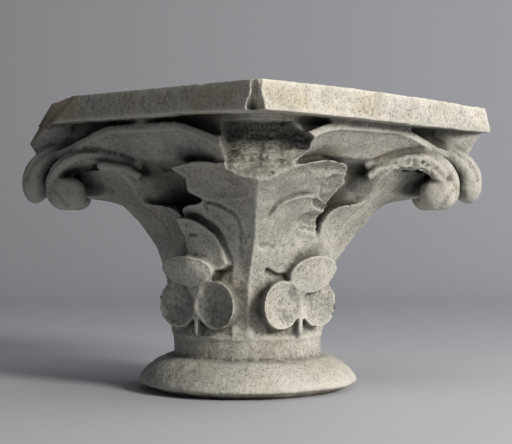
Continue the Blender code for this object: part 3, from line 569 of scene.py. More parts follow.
# The foot ring and the neck, one turned moulding. Its quarter round is a little flattened, it is
# bruised along its lower arris, and it stands on a flat bed.
RING_PROFILE_STEPS, RING_SIDES = 26, 720
BED_RADIUS, RING_RADIUS, RING_ARRIS_Z = 101.0, 120.0, 8.0
RING_FLATNESS = 1.3
RING_UNDERSIDE = [(BED_RADIUS - 6, -6), (BED_RADIUS, 0), (BED_RADIUS + 10, 4), (RING_RADIUS - 1.5, 7.2)]
NECK_SWELL = 1.5
NECK_PROFILE = [
    (NECK_RADIUS - 0.3, 42), (NECK_RADIUS, 50), (NECK_RADIUS + 0.2, 56.5),
    (NECK_RADIUS + NECK_SWELL, 58.5), (NECK_RADIUS + NECK_SWELL, 61),
    (NECK_RADIUS - 0.5, 64), (NECK_RADIUS - BURIED, 68),
]
BRUISE_DEPTH, BRUISE_SIZE, BRUISE_HEIGHT, BRUISE_FROM = 1.8, 9, 3.5, (0.15, 0.75)
RING_SWAY, RING_SWAY_SIZE, RING_NOISE_RADIUS = 0.5, 40, 60


def foot_shell():
    """Bed, arris, quarter round and neck, with the bruises of the arris."""
    rise, run = RING_TOP_Z - RING_ARRIS_Z, RING_RADIUS - NECK_RADIUS
    profile = list(RING_UNDERSIDE)
    for a in np.linspace(0, QUARTER, RING_PROFILE_STEPS):
        out, up = math.cos(a) ** RING_FLATNESS, math.sin(a) ** RING_FLATNESS
        profile.append((NECK_RADIUS + run * out, RING_ARRIS_Z + rise * up))
    profile += NECK_PROFILE
    spin = np.linspace(0, 2 * math.pi, RING_SIDES, endpoint=False)
    r, z = np.array(profile).T
    angle, r = np.meshgrid(spin, r)
    z = np.repeat(z[:, None], RING_SIDES, 1)
    around = np.stack([np.cos(angle) * RING_NOISE_RADIUS, np.sin(angle) * RING_NOISE_RADIUS, 0 * z], -1)
    bruise = BRUISE_DEPTH * smooth_step(*BRUISE_FROM, grain(around, BRUISE_SIZE, 5))
    bruise = bruise * bump(z - RING_ARRIS_Z, BRUISE_HEIGHT)
    r = r - bruise + RING_SWAY * grain(around, RING_SWAY_SIZE, 6)
    return ring_shell(np.stack([r * np.cos(angle), r * np.sin(angle), z], -1))


shells.append(foot_shell())


# The abacus, a square slab set cornerwise. Its edges are dressed with a broad chisel and worn, its top
# arris is ragged, and the front arris has lost a splinter over its whole height.
EDGE_STEP, EDGE_RINGS = 1.0, 30
CORNER_SHARPNESS, CORNER_SPAN = 0.35, 0.01
SOFFIT_LEVELS = [
    (-257, 286.0), (-60, 286.5), (0, 285.3), (75, 284.0), (125, 282.7), (190, 280.5), (260, 279.0),
]
TOP_LEVELS = [(-257, 313.6), (60, 313.6), (125, 312.6), (190, 310.2), (235, 307.5), (270, 306.0)]
EDGE_LOSS = 0.3
HOLLOW_DEPTH, HOLLOW_SIZE, HOLLOW_STRETCH = 0.6, 14, (1, 1, 1.4)
CHISEL_DEPTH, CHISEL_SIZE, CHISEL_STRETCH = 0.5, 3.5, (1, 1, 0.35)
ARRIS_RAG, RAG_HEIGHT, RAG_SIZE, RAG_STRETCH, RAG_FROM = 1.6, 3.5, 7, (1, 1, 0.3), (0.05, 0.8)
FOOT_RAG, FOOT_RAG_HEIGHT, FOOT_RAG_SIZE, FOOT_RAG_FROM = 1.0, 2.0, 9, (0.1, 0.8)


def abacus_shell():
    """The slab as rings from its soffit to its top, each a square with uneven sides."""
    corner = np.array([
        (ABACUS_REACH * math.cos(a) + BELL_SHIFT, ABACUS_REACH * math.sin(a)) for a in CORNER_TURNS
    ])
    share = np.arange(0, ABACUS_SIDE, EDGE_STEP) / ABACUS_SIDE
    edge, inward = [], []
    for a, b in zip(corner, np.roll(corner, -1, 0)):
        edge.append(a + share[:, None] * (b - a))
        across = np.array([-(b - a)[1], (b - a)[0]]) / ABACUS_SIDE
        fade = smooth_step(0, CORNER_SPAN, share) * smooth_step(1, 1 - CORNER_SPAN, share)
        inward.append(across * (CORNER_SHARPNESS + (1 - CORNER_SHARPNESS) * fade[:, None]))
    edge, inward = np.vstack(edge), np.vstack(inward)
    soffit = np.interp(edge[:, 0], *np.array(SOFFIT_LEVELS).T)
    top = np.interp(edge[:, 0], *np.array(TOP_LEVELS).T)
    rings = []
    for rise in np.linspace(0, 1, EDGE_RINGS):
        z = soffit + rise * (top - soffit)
        here = np.concatenate([edge, z[:, None]], 1)
        lost = EDGE_LOSS + HOLLOW_DEPTH * grain(here * HOLLOW_STRETCH, HOLLOW_SIZE, 21)
        lost = lost + CHISEL_DEPTH * grain(here * CHISEL_STRETCH, CHISEL_SIZE, 22)
        rag = smooth_step(*RAG_FROM, grain(here * RAG_STRETCH, RAG_SIZE, 23))
        lost = lost + ARRIS_RAG * bump(z - top, RAG_HEIGHT) * rag
        foot_rag = smooth_step(*FOOT_RAG_FROM, grain(here, FOOT_RAG_SIZE, 24))
        lost = lost + FOOT_RAG * bump(z - soffit, FOOT_RAG_HEIGHT) * foot_rag
        lost = np.maximum(lost, 0)
        rings.append(np.concatenate([edge + inward * lost[:, None], z[:, None]], 1))
    return ring_shell(np.array(rings))


shells.append(abacus_shell())


# One block. All of it is one piece of stone, so the skins are fused, and then what the years took off
# is taken off again: the front crocket, two corners of the abacus and a splinter of its front arris.
# The block is cut off flat at the wall, at its bed and at its top.
VOXEL = 1.45
WALL_Y = 62.0
SPAN = 1200.0
CLEAR_OF_STONE = 1.5 * ABACUS_REACH
WEAR_MEAN, WEAR = 0.35, [(0.35, 3.2, 51), (0.5, 11, 52), (0.5, 34, 53)]
BREAK_OUT, BREAK_FOOT_OUT, BREAK_SLOPE = 150.0, 178.0, 0.35
BREAK_TOP_Z, BREAK_DEPTH = 280.0, 91.0
BREAK_STEEPENING = (0.6, 0.010)
BREAK_LEFT, BREAK_RIGHT, BREAK_RIGHT_SPREAD, BREAK_RIGHT_DROP = 28.0, 27.0, 24.0, 17
BREAK_SIDE_SLOPE, BREAK_SIDE_FROM, BREAK_FARTHEST = 5.0, (52, 34), 1.2 * ABACUS_REACH
BED_DIP, BEDS = 0.06, [(1.6, 0.22, 3.2, 31), (2.4, 0.35, 8, 32)]
BROKEN_GRAIN = [(1.0, 3.0, 33), (2.0, 12, 34)]
SHEET_HALF, SHEET_STEP, SHEET_ROWS = 120, 1.2, 84
LEFT_CHIP_TOP, LEFT_CHIP_SIZE = 50.0, 200
LEFT_CHIP_LEAN, LEFT_CHIP_TURN = math.radians(32.5), math.radians(18.7)
LEFT_CHIP_AT = (BELL_SHIFT - ABACUS_REACH + LEFT_CHIP_TOP, 0, TOP_Z)
LEFT_CHIP_TILT = Matrix.Rotation(LEFT_CHIP_TURN, 3, "Z") @ Matrix.Rotation(LEFT_CHIP_LEAN, 3, "Y")
RIGHT_CHIP_TOP, RIGHT_CHIP_SIZE, RIGHT_CHIP_LEAN = 10.0, 100, math.radians(17)
RIGHT_CHIP_AT = (BELL_SHIFT + ABACUS_REACH - RIGHT_CHIP_TOP, 0, TOP_Z)
RIGHT_CHIP_TILT = Matrix.Rotation(-RIGHT_CHIP_LEAN, 3, "Y")
SPLINTER_ACROSS, SPLINTER_UP = np.arange(-14, 12.1, 0.8), np.arange(270, 325, 1.0)
SPLINTER_DEPTH, SPLINTER_SLOPE, SPLINTER_MIDDLE = 9.0, 0.55, -6
RIB_DEPTH, RIB_SIZE, RIB_STRETCH = 1.6, 2.0, 0.12
SCOOP_DEPTH, SCOOP_RISE, SCOOP_HEIGHT, SCOOP_MIDDLE, SCOOP_WIDTH = 16.0, 3, 8, -5, 9
RAGGED_AT, RAGGED_REACH, RAGGED_FLATNESS = (172, -52, 238), 22, 1.9
RAGGED_DEPTH, BITE_SIZE, FINE_BITE_SIZE, FINE_BITE_SHARE = 4.5, 5, 2.6, 0.6
CROCKET_LINES = [
    [
        (128, 62, 247), (150, 57, 253), (172, 50, 257), (192, 44, 254), (210, 39, 243),
        (219, 35, 230), (222, 32, 216),
    ],
    [(140, 22, 262), (170, 21, 269), (200, 20, 268), (222, 19, 259), (238, 18, 244), (246, 16, 228)],
    [(219, 44, 217), (208, 50, 208), (199, 46, 196)],
]
LINE_DEPTH, LINE_WIDTH, LINE_FLAT, LINE_MARGIN, LINE_STEPS = 1.7, 2.2, 1.5, 8, 5
STONE_TRIANGLES = 188000


def add_object(name, points, faces):
    """A mesh object of points in millimetres and faces."""
    mesh = bpy.data.meshes.new(name)
    mesh.from_pydata((np.asarray(points) * MM).tolist(), [], faces)
    placed = bpy.data.objects.new(name, mesh)
    bpy.context.collection.objects.link(placed)
    return placed


def settled(placed):
    """The object's mesh with its modifiers in it, as its plain mesh."""
    bpy.context.view_layer.update()
    evaluated = placed.evaluated_get(bpy.context.evaluated_depsgraph_get())
    final = bpy.data.meshes.new_from_object(evaluated)
    placed.modifiers.clear()
    placed.data = final
    return placed


def vertices_of(placed):
    """The vertices in millimetres."""
    flat = np.empty(3 * len(placed.data.vertices))
    placed.data.vertices.foreach_get("co", flat)
    return flat.reshape(-1, 3) / MM


def normals_of(placed):
    """The vertex normals."""
    flat = np.empty(3 * len(placed.data.vertices), np.float32)
    placed.data.vertex_normals.foreach_get("vector", flat)
    return flat.reshape(-1, 3).astype(float)


def block(name, size, centre, turn=None):
    """A cube of a full size about a centre, turned by a matrix."""
    corners = [
        [(x * size / 2, y * size / 2, z * size / 2) for x, y in ((-1, -1), (1, -1), (1, 1), (-1, 1))]
        for z in (-1, 1)
    ]
    points, faces = ring_shell(np.array(corners))
    if turn is not None:
        points = points @ np.array(turn).T
    return add_object(name, points + np.array(centre), faces)


def rough_sheet(name, inner):
    """A closed body from an uneven sheet of points forward to well clear of the stone."""
    far = inner * (1, 0, 1) + (0, -CLEAR_OF_STONE, 0)
    rows, cols = inner.shape[:2]
    index = np.arange(rows * cols).reshape(rows, cols)
    quads = np.stack([index[:-1, :-1], index[:-1, 1:], index[1:, 1:], index[1:, :-1]], -1)
    quads = quads.reshape(-1, 4)
    faces = quads[:, ::-1].tolist() + (quads + rows * cols).tolist()
    border = np.concatenate([index[0], index[1:, -1], index[-1, -2::-1], index[-2:0:-1, 0]])
    for a, b in zip(border, np.roll(border, -1)):
        faces.append([int(a), int(b), int(b) + rows * cols, int(a) + rows * cols])
    return add_object(name, np.concatenate([inner.reshape(-1, 3), far.reshape(-1, 3)]), faces)


def broken_face(x, z):
    """How far out the front break lies. The stone parted along its bedding, so the face is in steps."""
    below = BREAK_TOP_Z - z
    out = BREAK_OUT + BREAK_SLOPE * below * (BREAK_STEEPENING[0] + BREAK_STEEPENING[1] * below)
    out = np.minimum(out, BREAK_FOOT_OUT)
    right = BREAK_RIGHT + BREAK_RIGHT_SPREAD * smooth_step(0, BREAK_RIGHT_DROP, below)
    beyond = np.maximum(np.maximum(-x - BREAK_LEFT, x - right), 0)
    out = out + BREAK_SIDE_SLOPE * beyond * smooth_step(*BREAK_SIDE_FROM, below)
    out = np.minimum(out, BREAK_FARTHEST)
    here = np.stack([x, z, 0 * x], -1)
    dip = np.stack([x, z + BED_DIP * x, 0 * x], -1)
    out = out + sum(
        depth * grain(dip * (stretch, 1, 1), size, seed) for depth, stretch, size, seed in BEDS
    )
    for depth, size, seed in BROKEN_GRAIN:
        out = out + depth * grain(here, size, seed)
    return out


def lost_crocket():
    """All that the front corner has lost."""
    across = np.arange(-SHEET_HALF, SHEET_HALF + 0.1, SHEET_STEP)
    x, z = np.meshgrid(across, np.linspace(BREAK_TOP_Z - BREAK_DEPTH, BREAK_TOP_Z, SHEET_ROWS))
    return rough_sheet("lost_crocket", np.stack([x + BELL_SHIFT, -broken_face(x, z), z], -1))


def lost_corner(name, at, tilt, size, side):
    """What is lost of a corner: all to one side of a tilted plane through a point of the top."""
    return block(name, size, Vector(at) + tilt @ Vector((side * size / 2, 0, 0)), tilt)


def lost_splinter():
    """What is knocked off the left side of the front arris: a ribbed face over a hollow at its foot."""
    across, z = np.meshgrid(SPLINTER_ACROSS, SPLINTER_UP)
    here = np.stack([across, z * RIB_STRETCH, 0 * z], -1)
    out = ABACUS_REACH - SPLINTER_DEPTH + SPLINTER_SLOPE * np.abs(across - SPLINTER_MIDDLE)
    out = out + RIB_DEPTH * grain(here, RIB_SIZE, 41)
    scoop = SCOOP_DEPTH * bump(z - SOFFIT_Z - SCOOP_RISE, SCOOP_HEIGHT)
    out = out - scoop * bump(across - SCOOP_MIDDLE, SCOOP_WIDTH)
    return rough_sheet("lost_splinter", np.stack([across + BELL_SHIFT, -out, z], -1))


def line_depth(place, line):
    """How deep one chisel line goes at each place near it."""
    gap = np.full(len(place), np.inf)
    for a, b in zip(line[:-1], line[1:]):
        along = np.clip(((place - a) @ (b - a)) / ((b - a) @ (b - a)), 0, 1)
        gap = np.minimum(gap, np.linalg.norm(place - a - along[:, None] * (b - a), axis=1))
    return LINE_DEPTH * bump(np.maximum(gap - LINE_FLAT, 0), LINE_WIDTH)


def carved_lines(place):
    """How deep the chisel lines on the crockets go at each place."""
    depth = np.zeros(len(place))
    for corner, hand, path in product((1, 2, 3), (1, -1), CROCKET_LINES):
        line = to_corner(through(np.array(path) * (1, hand, 1), LINE_STEPS), corner)
        low, high = line.min(0) - LINE_MARGIN, line.max(0) + LINE_MARGIN
        near = np.all((place > low) & (place < high), axis=1)
        depth[near] = np.maximum(depth[near], line_depth(place[near], line))
    return depth


def fused_block():
    """The shells as one skin, eroded."""
    points, faces, start = [], [], 0
    for shell_points, shell_faces in shells:
        faces += [[start + i for i in face] for face in shell_faces]
        points.append(shell_points)
        start += len(shell_points)
    body = add_object("weathered_capital", np.vstack(points), faces)
    fuse = body.modifiers.new("fuse", "REMESH")
    fuse.mode = "VOXEL"
    fuse.voxel_size = VOXEL * MM
    soften = body.modifiers.new("soften", "SMOOTH")
    soften.factor = 0.5
    soften.iterations = 1
    settled(body)
    place, normal = vertices_of(body), normals_of(body)
    worn = sum(depth * grain(place, size, seed) for depth, size, seed in WEAR)
    band = to_corner(np.array([RAGGED_AT]), RIGHT_FRONT[0])
    near = bump(np.linalg.norm((place - band) * (1, 1, RAGGED_FLATNESS), axis=1), RAGGED_REACH)
    bites = np.abs(grain(place, BITE_SIZE, 55))
    bites = bites + FINE_BITE_SHARE * np.abs(grain(place, FINE_BITE_SIZE, 56))
    ragged = RAGGED_DEPTH * near * bites
    place = place + normal * (worn - WEAR_MEAN - carved_lines(place) - ragged)[:, None]
    body.data.vertices.foreach_set("co", (place * MM).ravel())
    body.data.update()
    return body


def cut_away(body, pieces):
    """The body less each of the pieces."""
    for piece in pieces:
        cut = body.modifiers.new(piece.name, "BOOLEAN")
        cut.operation = "DIFFERENCE"
        cut.solver = "MANIFOLD"
        cut.object = piece
    settled(body)
    for piece in pieces:
        bpy.data.objects.remove(piece, do_unlink=True)


capital = fused_block()
cut_away(capital, [
    block("masonry", SPAN, (0, WALL_Y + SPAN / 2, TOP_Z / 2)),
    block("bed", SPAN, (0, 0, -SPAN / 2)),
    block("sky", SPAN, (0, 0, TOP_Z + SPAN / 2)),
    lost_crocket(),
    lost_corner("lost_left_corner", LEFT_CHIP_AT, LEFT_CHIP_TILT, LEFT_CHIP_SIZE, -1),
    lost_corner("lost_right_tip", RIGHT_CHIP_AT, RIGHT_CHIP_TILT, RIGHT_CHIP_SIZE, 1),
    lost_splinter(),
])
thin = capital.modifiers.new("thin", "DECIMATE")
thin.use_collapse_triangulate = True
capital.data.calc_loop_triangles()
thin.ratio = min(1.0, STONE_TRIANGLES / len(capital.data.loop_triangles))
settled(capital)
kept = np.minimum(np.maximum(vertices_of(capital), (-SPAN, -SPAN, 0)), (SPAN, WALL_Y, TOP_Z))
capital.data.vertices.foreach_set("co", (kept * MM).ravel())
capital.data.update()
capital.data.polygons.foreach_set("use_smooth", [True] * len(capital.data.polygons))


# Limestone, fine-grained and grey, sawn and chiselled, then weathered for centuries: matt, speckled at
# the grain, pale and creamy on the worn edges, and dark with dirt and painted shade in the hollows,
# where little sky reaches and on the front break. Its real grit is under 1 mm, too fine to show in the
# render, so it is drawn at 1.3 mm.
LIT_STONE = "#9C9A93"
PALE_STONE = "#CDC9BF"
# Dark stone for real pits and dirt, and for painted shade in the hollows, where little sky reaches and
# on the front break.
DIRT_AND_SHADE = "#4A4740"
OCHRE = "#A8946A"
BROKEN_STONE = "#8E8B84"
# Near black for soot and painted shade in the deepest places, which see almost no sky.
SOOT_AND_SHADE = "#2C2924"
BROWN = "#7D6A4C"
GRAIN_MM, PIT_MM, SPECKLE_MM, CLOUD_MM = 1.3, 1.3 * 1.8, 3.0, 38.0
# How much sky each vertex loses to the stone; it darkens the colour as dirt and painted shade.
OCCLUSION_REACH, OCCLUSION_RAYS, RAY_START, RAY_FADE, OCCLUSION_EASING = 80.0, 18, 0.4, 0.5, 0.5
FEW_ROUNDS, MANY_ROUNDS, EASING = 4, 24, 0.6
# Hollows darken the colour as dirt and painted shade; proud places pale it as wear.
HOLLOW_STEPS = [(MANY_ROUNDS, 0.5, 2.4, 0.6), (FEW_ROUNDS, 0.08, 0.45, 0.4)]
PROUD_STEPS = [(MANY_ROUNDS, 0.4, 1.6, 0.5), (FEW_ROUNDS, 0.06, 0.4, 0.5)]
# The break's colour is full at its top, as painted shade under the abacus, and weaker at its foot.
BROKEN_WITHIN, BROKEN_FOOT_SHARE, BROKEN_FOOT = (1.6, 0.9), 0.35, (238, 256)
STAINED_WITHIN = (4.0, 1.0)
# Layers of colour: the colour, its strength, and the patterns it shows through. A pattern is its source
# and where it starts and is full. A source is a value by name, heights in metres, or a noise by the
# way it lies, its size in mm, its detail and its roughness.
WEATHERING_AND_SHADE = [
    # Pale and ochre clouds in the stone, more ochre on the slab, pale speckle and dark pits.
    (PALE_STONE, 1.0, [(("even", CLOUD_MM, 4, 0.6), 0.38, 0.68)]),
    (OCHRE, 0.45, [(("even", 60, 3, 0.6), 0.52, 0.75)]),
    (OCHRE, 0.5, [("height", 0.280, 0.285), (("even", 45, 3, 0.6), 0.38, 0.62)]),
    (PALE_STONE, 0.5, [(("even", SPECKLE_MM, 6, 0.75), 0.36, 0.62)]),
    (DIRT_AND_SHADE, 0.75, [(("even", PIT_MM, 3, 0.8), 0.49, 0.33)]),
    # Worn edges paler; dirt and painted shade in the hollows and between the leaves; the upper bell a
    # little darker from 130 mm up to the soffit; dirt and painted shade where little sky reaches, and
    # soot and painted shade, near black, in the deepest places.
    (PALE_STONE, 0.7, [("proud", 0, 1)]),
    (DIRT_AND_SHADE, 0.8, [("hollow", 0, 1)]),
    (DIRT_AND_SHADE, 0.2, [("height", 0.13, 0.21), ("height", 0.286, 0.282)]),
    (DIRT_AND_SHADE, 1.0, [("occluded", 0.18, 0.60)]),
    (SOOT_AND_SHADE, 1.0, [("occluded", 0.50, 0.80)]),
    (BROWN, 0.7, [("stained", 0, 1)]),
]
# The front break: a dark ground of dirt and painted shade from the abacus, grey grain, and pale
# bedded streaks kept to its lower part as painted light.
BREAK_LAYERS = [
    (BROKEN_STONE, 1.0, [(("even", 2.6, 4, 0.8), 0.40, 0.60)]),
    (PALE_STONE, 1.0, [(("bedded", 2.4, 4, 0.7), 0.50, 0.66), ("height", 0.262, 0.246)]),
]
BREAK_SHARE, BEDDING_STRETCH = 0.75, (0.25, 0.25, 1.0)
FOOT_LAYERS = [
    (PALE_STONE, 0.8, [("height", 0.024, 0.012), (("even", 6, 5, 0.8), 0.56, 0.62)]),
    (BROWN, 0.8, [("height", 0.010, 0.004), (("even", 14, 4, 0.6), 0.35, 0.6)]),
]
GRIT = [(1.0, GRAIN_MM, 6, 0.7), (1.4, SPECKLE_MM, 3, 0.6)]
GRIT_STRENGTH, GRIT_HEIGHT = 0.8, 0.0008


def to_linear(hex_colour):
    """An sRGB hex colour as linear RGBA."""
    parts = [int(hex_colour[i:i + 2], 16) / 255 for i in (1, 3, 5)]
    return [p / 12.92 if p <= 0.04045 else ((p + 0.055) / 1.055) ** 2.4 for p in parts] + [1]


def add_node(tree, kind, inputs=None, **settings):
    """One node with its settings, and its inputs set or linked, by socket name or number."""
    node = tree.nodes.new(kind)
    for name, value in settings.items():
        setattr(node, name, value)
    for socket, value in (inputs or {}).items():
        if isinstance(value, bpy.types.NodeSocket):
            tree.links.new(value, node.inputs[socket])
        else:
            node.inputs[socket].default_value = value
    return node


def neighbours_mean(values, pairs, count):
    """The mean of each vertex's neighbours."""
    total = np.zeros_like(values)
    for column in range(values.shape[1]):
        total[:, column] = (
            np.bincount(pairs[:, 0], values[pairs[:, 1], column], len(values))
            + np.bincount(pairs[:, 1], values[pairs[:, 0], column], len(values))
        )
    return total / count[:, None]


# Painted shade with dirt: this occlusion is laid into the stone's colour.
def occluded(placed, place, normal):
    """How much of the sky each vertex loses to stone within OCCLUSION_REACH, from 0 to 1."""
    tree = BVHTree.FromObject(placed, bpy.context.evaluated_depsgraph_get())
    golden = math.pi * (3 - math.sqrt(5))
    rays = []
    for i in range(OCCLUSION_RAYS):
        up = 1 - (i + 0.5) / OCCLUSION_RAYS
        side = math.sqrt(1 - up * up)
        rays.append((side * math.cos(golden * i), side * math.sin(golden * i), math.sqrt(up)))
    helper = np.where(np.abs(normal[:, 2:3]) < 0.9, (0.0, 0.0, 1.0), (1.0, 0.0, 0.0))
    aside = np.cross(normal, helper)
    aside /= np.linalg.norm(aside, axis=1)[:, None]
    along = np.cross(normal, aside)
    start = (place + RAY_START * normal) * MM
    blocked = np.zeros(len(place))
    for a, b, c in rays:
        aim = aside * a + along * b + normal * c
        for i, (origin, direction) in enumerate(zip(start.tolist(), aim.tolist())):
            gap = tree.ray_cast(origin, direction, OCCLUSION_REACH * MM)[3]
            if gap is not None:
                blocked[i] += 1 - RAY_FADE * gap / (OCCLUSION_REACH * MM)
    return blocked / OCCLUSION_RAYS


def record_wear_and_shade(placed):
    """Values at each vertex that the material reads: hollow, proud, sheltered, broken and stained."""
    place, normal = vertices_of(placed), normals_of(placed)
    pairs = np.empty(2 * len(placed.data.edges), int)
    placed.data.edges.foreach_get("vertices", pairs)
    pairs = pairs.reshape(-1, 2)
    count = np.bincount(pairs.ravel(), minlength=len(place)).clip(1)
    smooth = place
    sunk = {}
    for rounds in range(1, MANY_ROUNDS + 1):
        smooth = (1 - EASING) * smooth + EASING * neighbours_mean(smooth, pairs, count)
        if rounds in (FEW_ROUNDS, MANY_ROUNDS):
            sunk[rounds] = ((smooth - place) * normal).sum(1)
    # Hollows for dirt and painted shade, proud places for wear.
    hollow = sum(share * smooth_step(low, high, sunk[n]) for n, low, high, share in HOLLOW_STEPS)
    proud = sum(share * smooth_step(low, high, -sunk[n]) for n, low, high, share in PROUD_STEPS)
    occlusion = occluded(placed, place, normal)[:, None]
    for rounds in range(2):
        mean = neighbours_mean(occlusion, pairs, count)
        occlusion = (1 - OCCLUSION_EASING) * occlusion + OCCLUSION_EASING * mean
    x, y, z = place.T
    # Where the front break lies, weaker at its foot, for its painted shade.
    behind = -y - broken_face(x - BELL_SHIFT, z)
    broken = smooth_step(*BROKEN_WITHIN, np.abs(behind))
    broken = broken * (z < BREAK_TOP_Z) * (z > BREAK_TOP_Z - BREAK_DEPTH)
    broken = broken * (BROKEN_FOOT_SHARE + (1 - BROKEN_FOOT_SHARE) * smooth_step(*BROKEN_FOOT, z))
    beyond = (place - LEFT_CHIP_AT) @ np.array(LEFT_CHIP_TILT)[:, 0]
    stained = smooth_step(*STAINED_WITHIN, np.abs(beyond))
    stained = stained * (z > SOFFIT_Z - LUMP_DEPTH) * (x < 0)
    found = {
        "hollow": hollow, "proud": proud, "occluded": occlusion[:, 0],
        "broken": broken, "stained": stained,
    }
    for name, values in found.items():
        attribute = placed.data.attributes.new(name, "FLOAT", "POINT")
        attribute.data.foreach_set("value", values.astype(np.float32))


def layered(tree, colour, layers, named):
    """The colour with each layer laid over it where all of the layer's patterns show."""
    for layer_colour, strength, patterns in layers:
        cover = strength
        for source, start, full in patterns:
            if source in named:
                value = named[source]
            else:
                way, size_mm, detail, roughness = source
                value = add_node(tree, "ShaderNodeTexNoise", {
                    "Vector": named[way], "Scale": 1 / (size_mm * MM), "Detail": detail,
                    "Roughness": roughness,
                }).outputs["Fac"]
            shown = add_node(tree, "ShaderNodeMapRange", {
                "Value": value, "From Min": start, "From Max": full,
            }).outputs["Result"]
            cover = add_node(tree, "ShaderNodeMath", {
                0: shown, 1: cover,
            }, operation="MULTIPLY").outputs[0]
        colour = add_node(tree, "ShaderNodeMix", {
            0: cover, 6: colour, 7: to_linear(layer_colour),
        }, data_type="RGBA").outputs[2]
    return colour


def weathered_limestone():
    """The stone's material: matt and uneven, pale where worn, dark with dirt and painted shade where
    occluded, gritty up close.
    """
    stone = bpy.data.materials.new("weathered_limestone")
    stone.use_nodes = True
    tree = stone.node_tree
    tree.nodes.clear()
    place = add_node(tree, "ShaderNodeTexCoord").outputs["Object"]
    bedding = add_node(tree, "ShaderNodeMapping", {"Vector": place, "Scale": BEDDING_STRETCH})
    named = {
        "even": place,
        "bedded": bedding.outputs[0],
        "height": add_node(tree, "ShaderNodeSeparateXYZ", {0: place}).outputs["Z"],
    }
    for name in ("hollow", "proud", "occluded", "broken", "stained"):
        named[name] = add_node(tree, "ShaderNodeAttribute", attribute_name=name).outputs["Fac"]
    colour = layered(tree, to_linear(LIT_STONE), WEATHERING_AND_SHADE, named)
    # The front break: painted shade at its top, and painted light on the streaks of its lower part.
    break_colour_and_shade = layered(tree, to_linear(DIRT_AND_SHADE), BREAK_LAYERS, named)
    break_cover = add_node(tree, "ShaderNodeMath", {0: named["broken"], 1: BREAK_SHARE}, operation="MULTIPLY")
    colour = add_node(tree, "ShaderNodeMix", {
        0: break_cover.outputs[0], 6: colour, 7: break_colour_and_shade,
    }, data_type="RGBA").outputs[2]
    colour = layered(tree, colour, FOOT_LAYERS, named)
    height = 0.0
    for share, size_mm, detail, roughness in GRIT:
        noise = add_node(tree, "ShaderNodeTexNoise", {
            "Vector": place, "Scale": 1 / (size_mm * MM), "Detail": detail, "Roughness": roughness,
        })
        height = add_node(tree, "ShaderNodeMath", {
            0: noise.outputs["Fac"], 1: share, 2: height,
        }, operation="MULTIPLY_ADD").outputs[0]
    relief = add_node(tree, "ShaderNodeBump", {
        "Height": height, "Strength": GRIT_STRENGTH, "Distance": GRIT_HEIGHT,
    })
    shader = add_node(tree, "ShaderNodeBsdfPrincipled", {
        "Base Color": colour, "Roughness": 0.92, "Metallic": 0.0, "IOR": 1.5,
        "Specular IOR Level": 0.25, "Normal": relief.outputs["Normal"],
    })
    add_node(tree, "ShaderNodeOutputMaterial", {"Surface": shader.outputs["BSDF"]})
    return stone


record_wear_and_shade(capital)
capital.data.materials.clear()
capital.data.materials.append(weathered_limestone())
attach(capital, "root")
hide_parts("capital")


# The studio: a pale seamless floor, one large soft light from the right and front, as the photograph
# was lit, a weak one from the left, and the camera low in front.
FLOOR_COLOUR = "#B4B5BA"
FLOOR_HALF, SWEEP_START, SWEEP_RADIUS, SWEEP_HEIGHT, SWEEP_STEPS = 4.0, 1.3, 0.8, 3.0, 24
# Name, place, aim, width, power and colour of each light.
LIGHTS = [
    ("key", (1.75, -1.45, 1.05), (0, -0.1, 0.18), 0.6, 66, "#FFFCF6"),
    ("fill", (-2.0, -1.6, 0.9), (0, 0, 0.15), 1.6, 0.8, "#EEF2FF"),
    ("backdrop", (2.6, 0.9, 1.5), (1.2, 1.5, 0.1), 1.4, 17, "#F4F6FF"),
    ("overhead", (0.5, -0.7, 2.2), (0.5, -0.5, 0.0), 1.6, 14, "#FFFFFF"),
]
AIR_COLOUR, AIR_STRENGTH = "#C9CCD6", 0.07
CAMERA_TURN = math.radians(-1.05)
CAMERA_DISTANCE, CAMERA_HEIGHT, LENS_MM, SENSOR_MM = 1.452, 0.196, 92.8, 36
FRAME_WIDTH, FRAME_RIGHT, FRAME_DOWN = 512, 8.8, 14


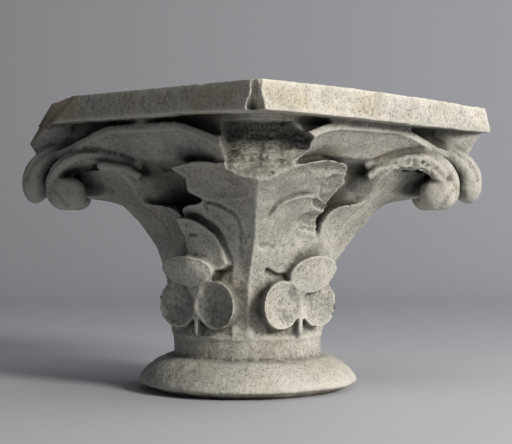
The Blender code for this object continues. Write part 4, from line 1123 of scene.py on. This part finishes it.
def studio_floor():
    """A sheet that runs from under the capital back and up behind it."""
    curve = [(-FLOOR_HALF, 0.0), (SWEEP_START, 0.0)]
    for a in np.linspace(0, QUARTER, SWEEP_STEPS)[1:]:
        curve.append((SWEEP_START + SWEEP_RADIUS * math.sin(a), SWEEP_RADIUS * (1 - math.cos(a))))
    curve.append((SWEEP_START + SWEEP_RADIUS, SWEEP_HEIGHT))
    points = [(x / MM, y / MM, z / MM) for y, z in curve for x in (-FLOOR_HALF, FLOOR_HALF)]
    faces = [[2 * i, 2 * i + 1, 2 * i + 3, 2 * i + 2] for i in range(len(curve) - 1)]
    floor = add_object("studio_floor", points, faces)
    floor.data.polygons.foreach_set("use_smooth", [True] * len(faces))
    # Matt paper of one even tone, so that it shows as a soft grey ground with no edge or sheen.
    paper = bpy.data.materials.new("seamless_paper")
    paper.use_nodes = True
    shader = paper.node_tree.nodes["Principled BSDF"]
    shader.inputs["Base Color"].default_value = to_linear(FLOOR_COLOUR)
    shader.inputs["Roughness"].default_value = 0.9
    floor.data.materials.append(paper)
    return floor


def soft_light(name, place, target, size, watts, colour):
    """A square softbox aimed at a point."""
    light = bpy.data.lights.new(name, "AREA")
    light.size = size
    light.energy = watts
    light.color = to_linear(colour)[:3]
    lamp = bpy.data.objects.new(name, light)
    bpy.context.collection.objects.link(lamp)
    lamp.location = place
    lamp.rotation_euler = (Vector(target) - Vector(place)).to_track_quat("-Z", "Y").to_euler()


studio_floor()
for light in LIGHTS:
    soft_light(*light)
world = bpy.data.worlds.new("studio_air")
bpy.context.scene.world = world
world.use_nodes = True
world.node_tree.nodes["Background"].inputs["Color"].default_value = to_linear(AIR_COLOUR)
world.node_tree.nodes["Background"].inputs["Strength"].default_value = AIR_STRENGTH

camera = bpy.data.objects.new("camera", bpy.data.cameras.new("camera"))
bpy.context.collection.objects.link(camera)
camera.data.sensor_width = SENSOR_MM
camera.data.lens = LENS_MM
camera.data.shift_x = FRAME_RIGHT / FRAME_WIDTH
camera.data.shift_y = -FRAME_DOWN / FRAME_WIDTH
camera.location = (
    CAMERA_DISTANCE * math.sin(CAMERA_TURN), -CAMERA_DISTANCE * math.cos(CAMERA_TURN), CAMERA_HEIGHT,
)
camera.rotation_euler = (QUARTER, 0, CAMERA_TURN)
bpy.context.scene.camera = camera
bpy.context.scene.view_settings.view_transform = "Standard"
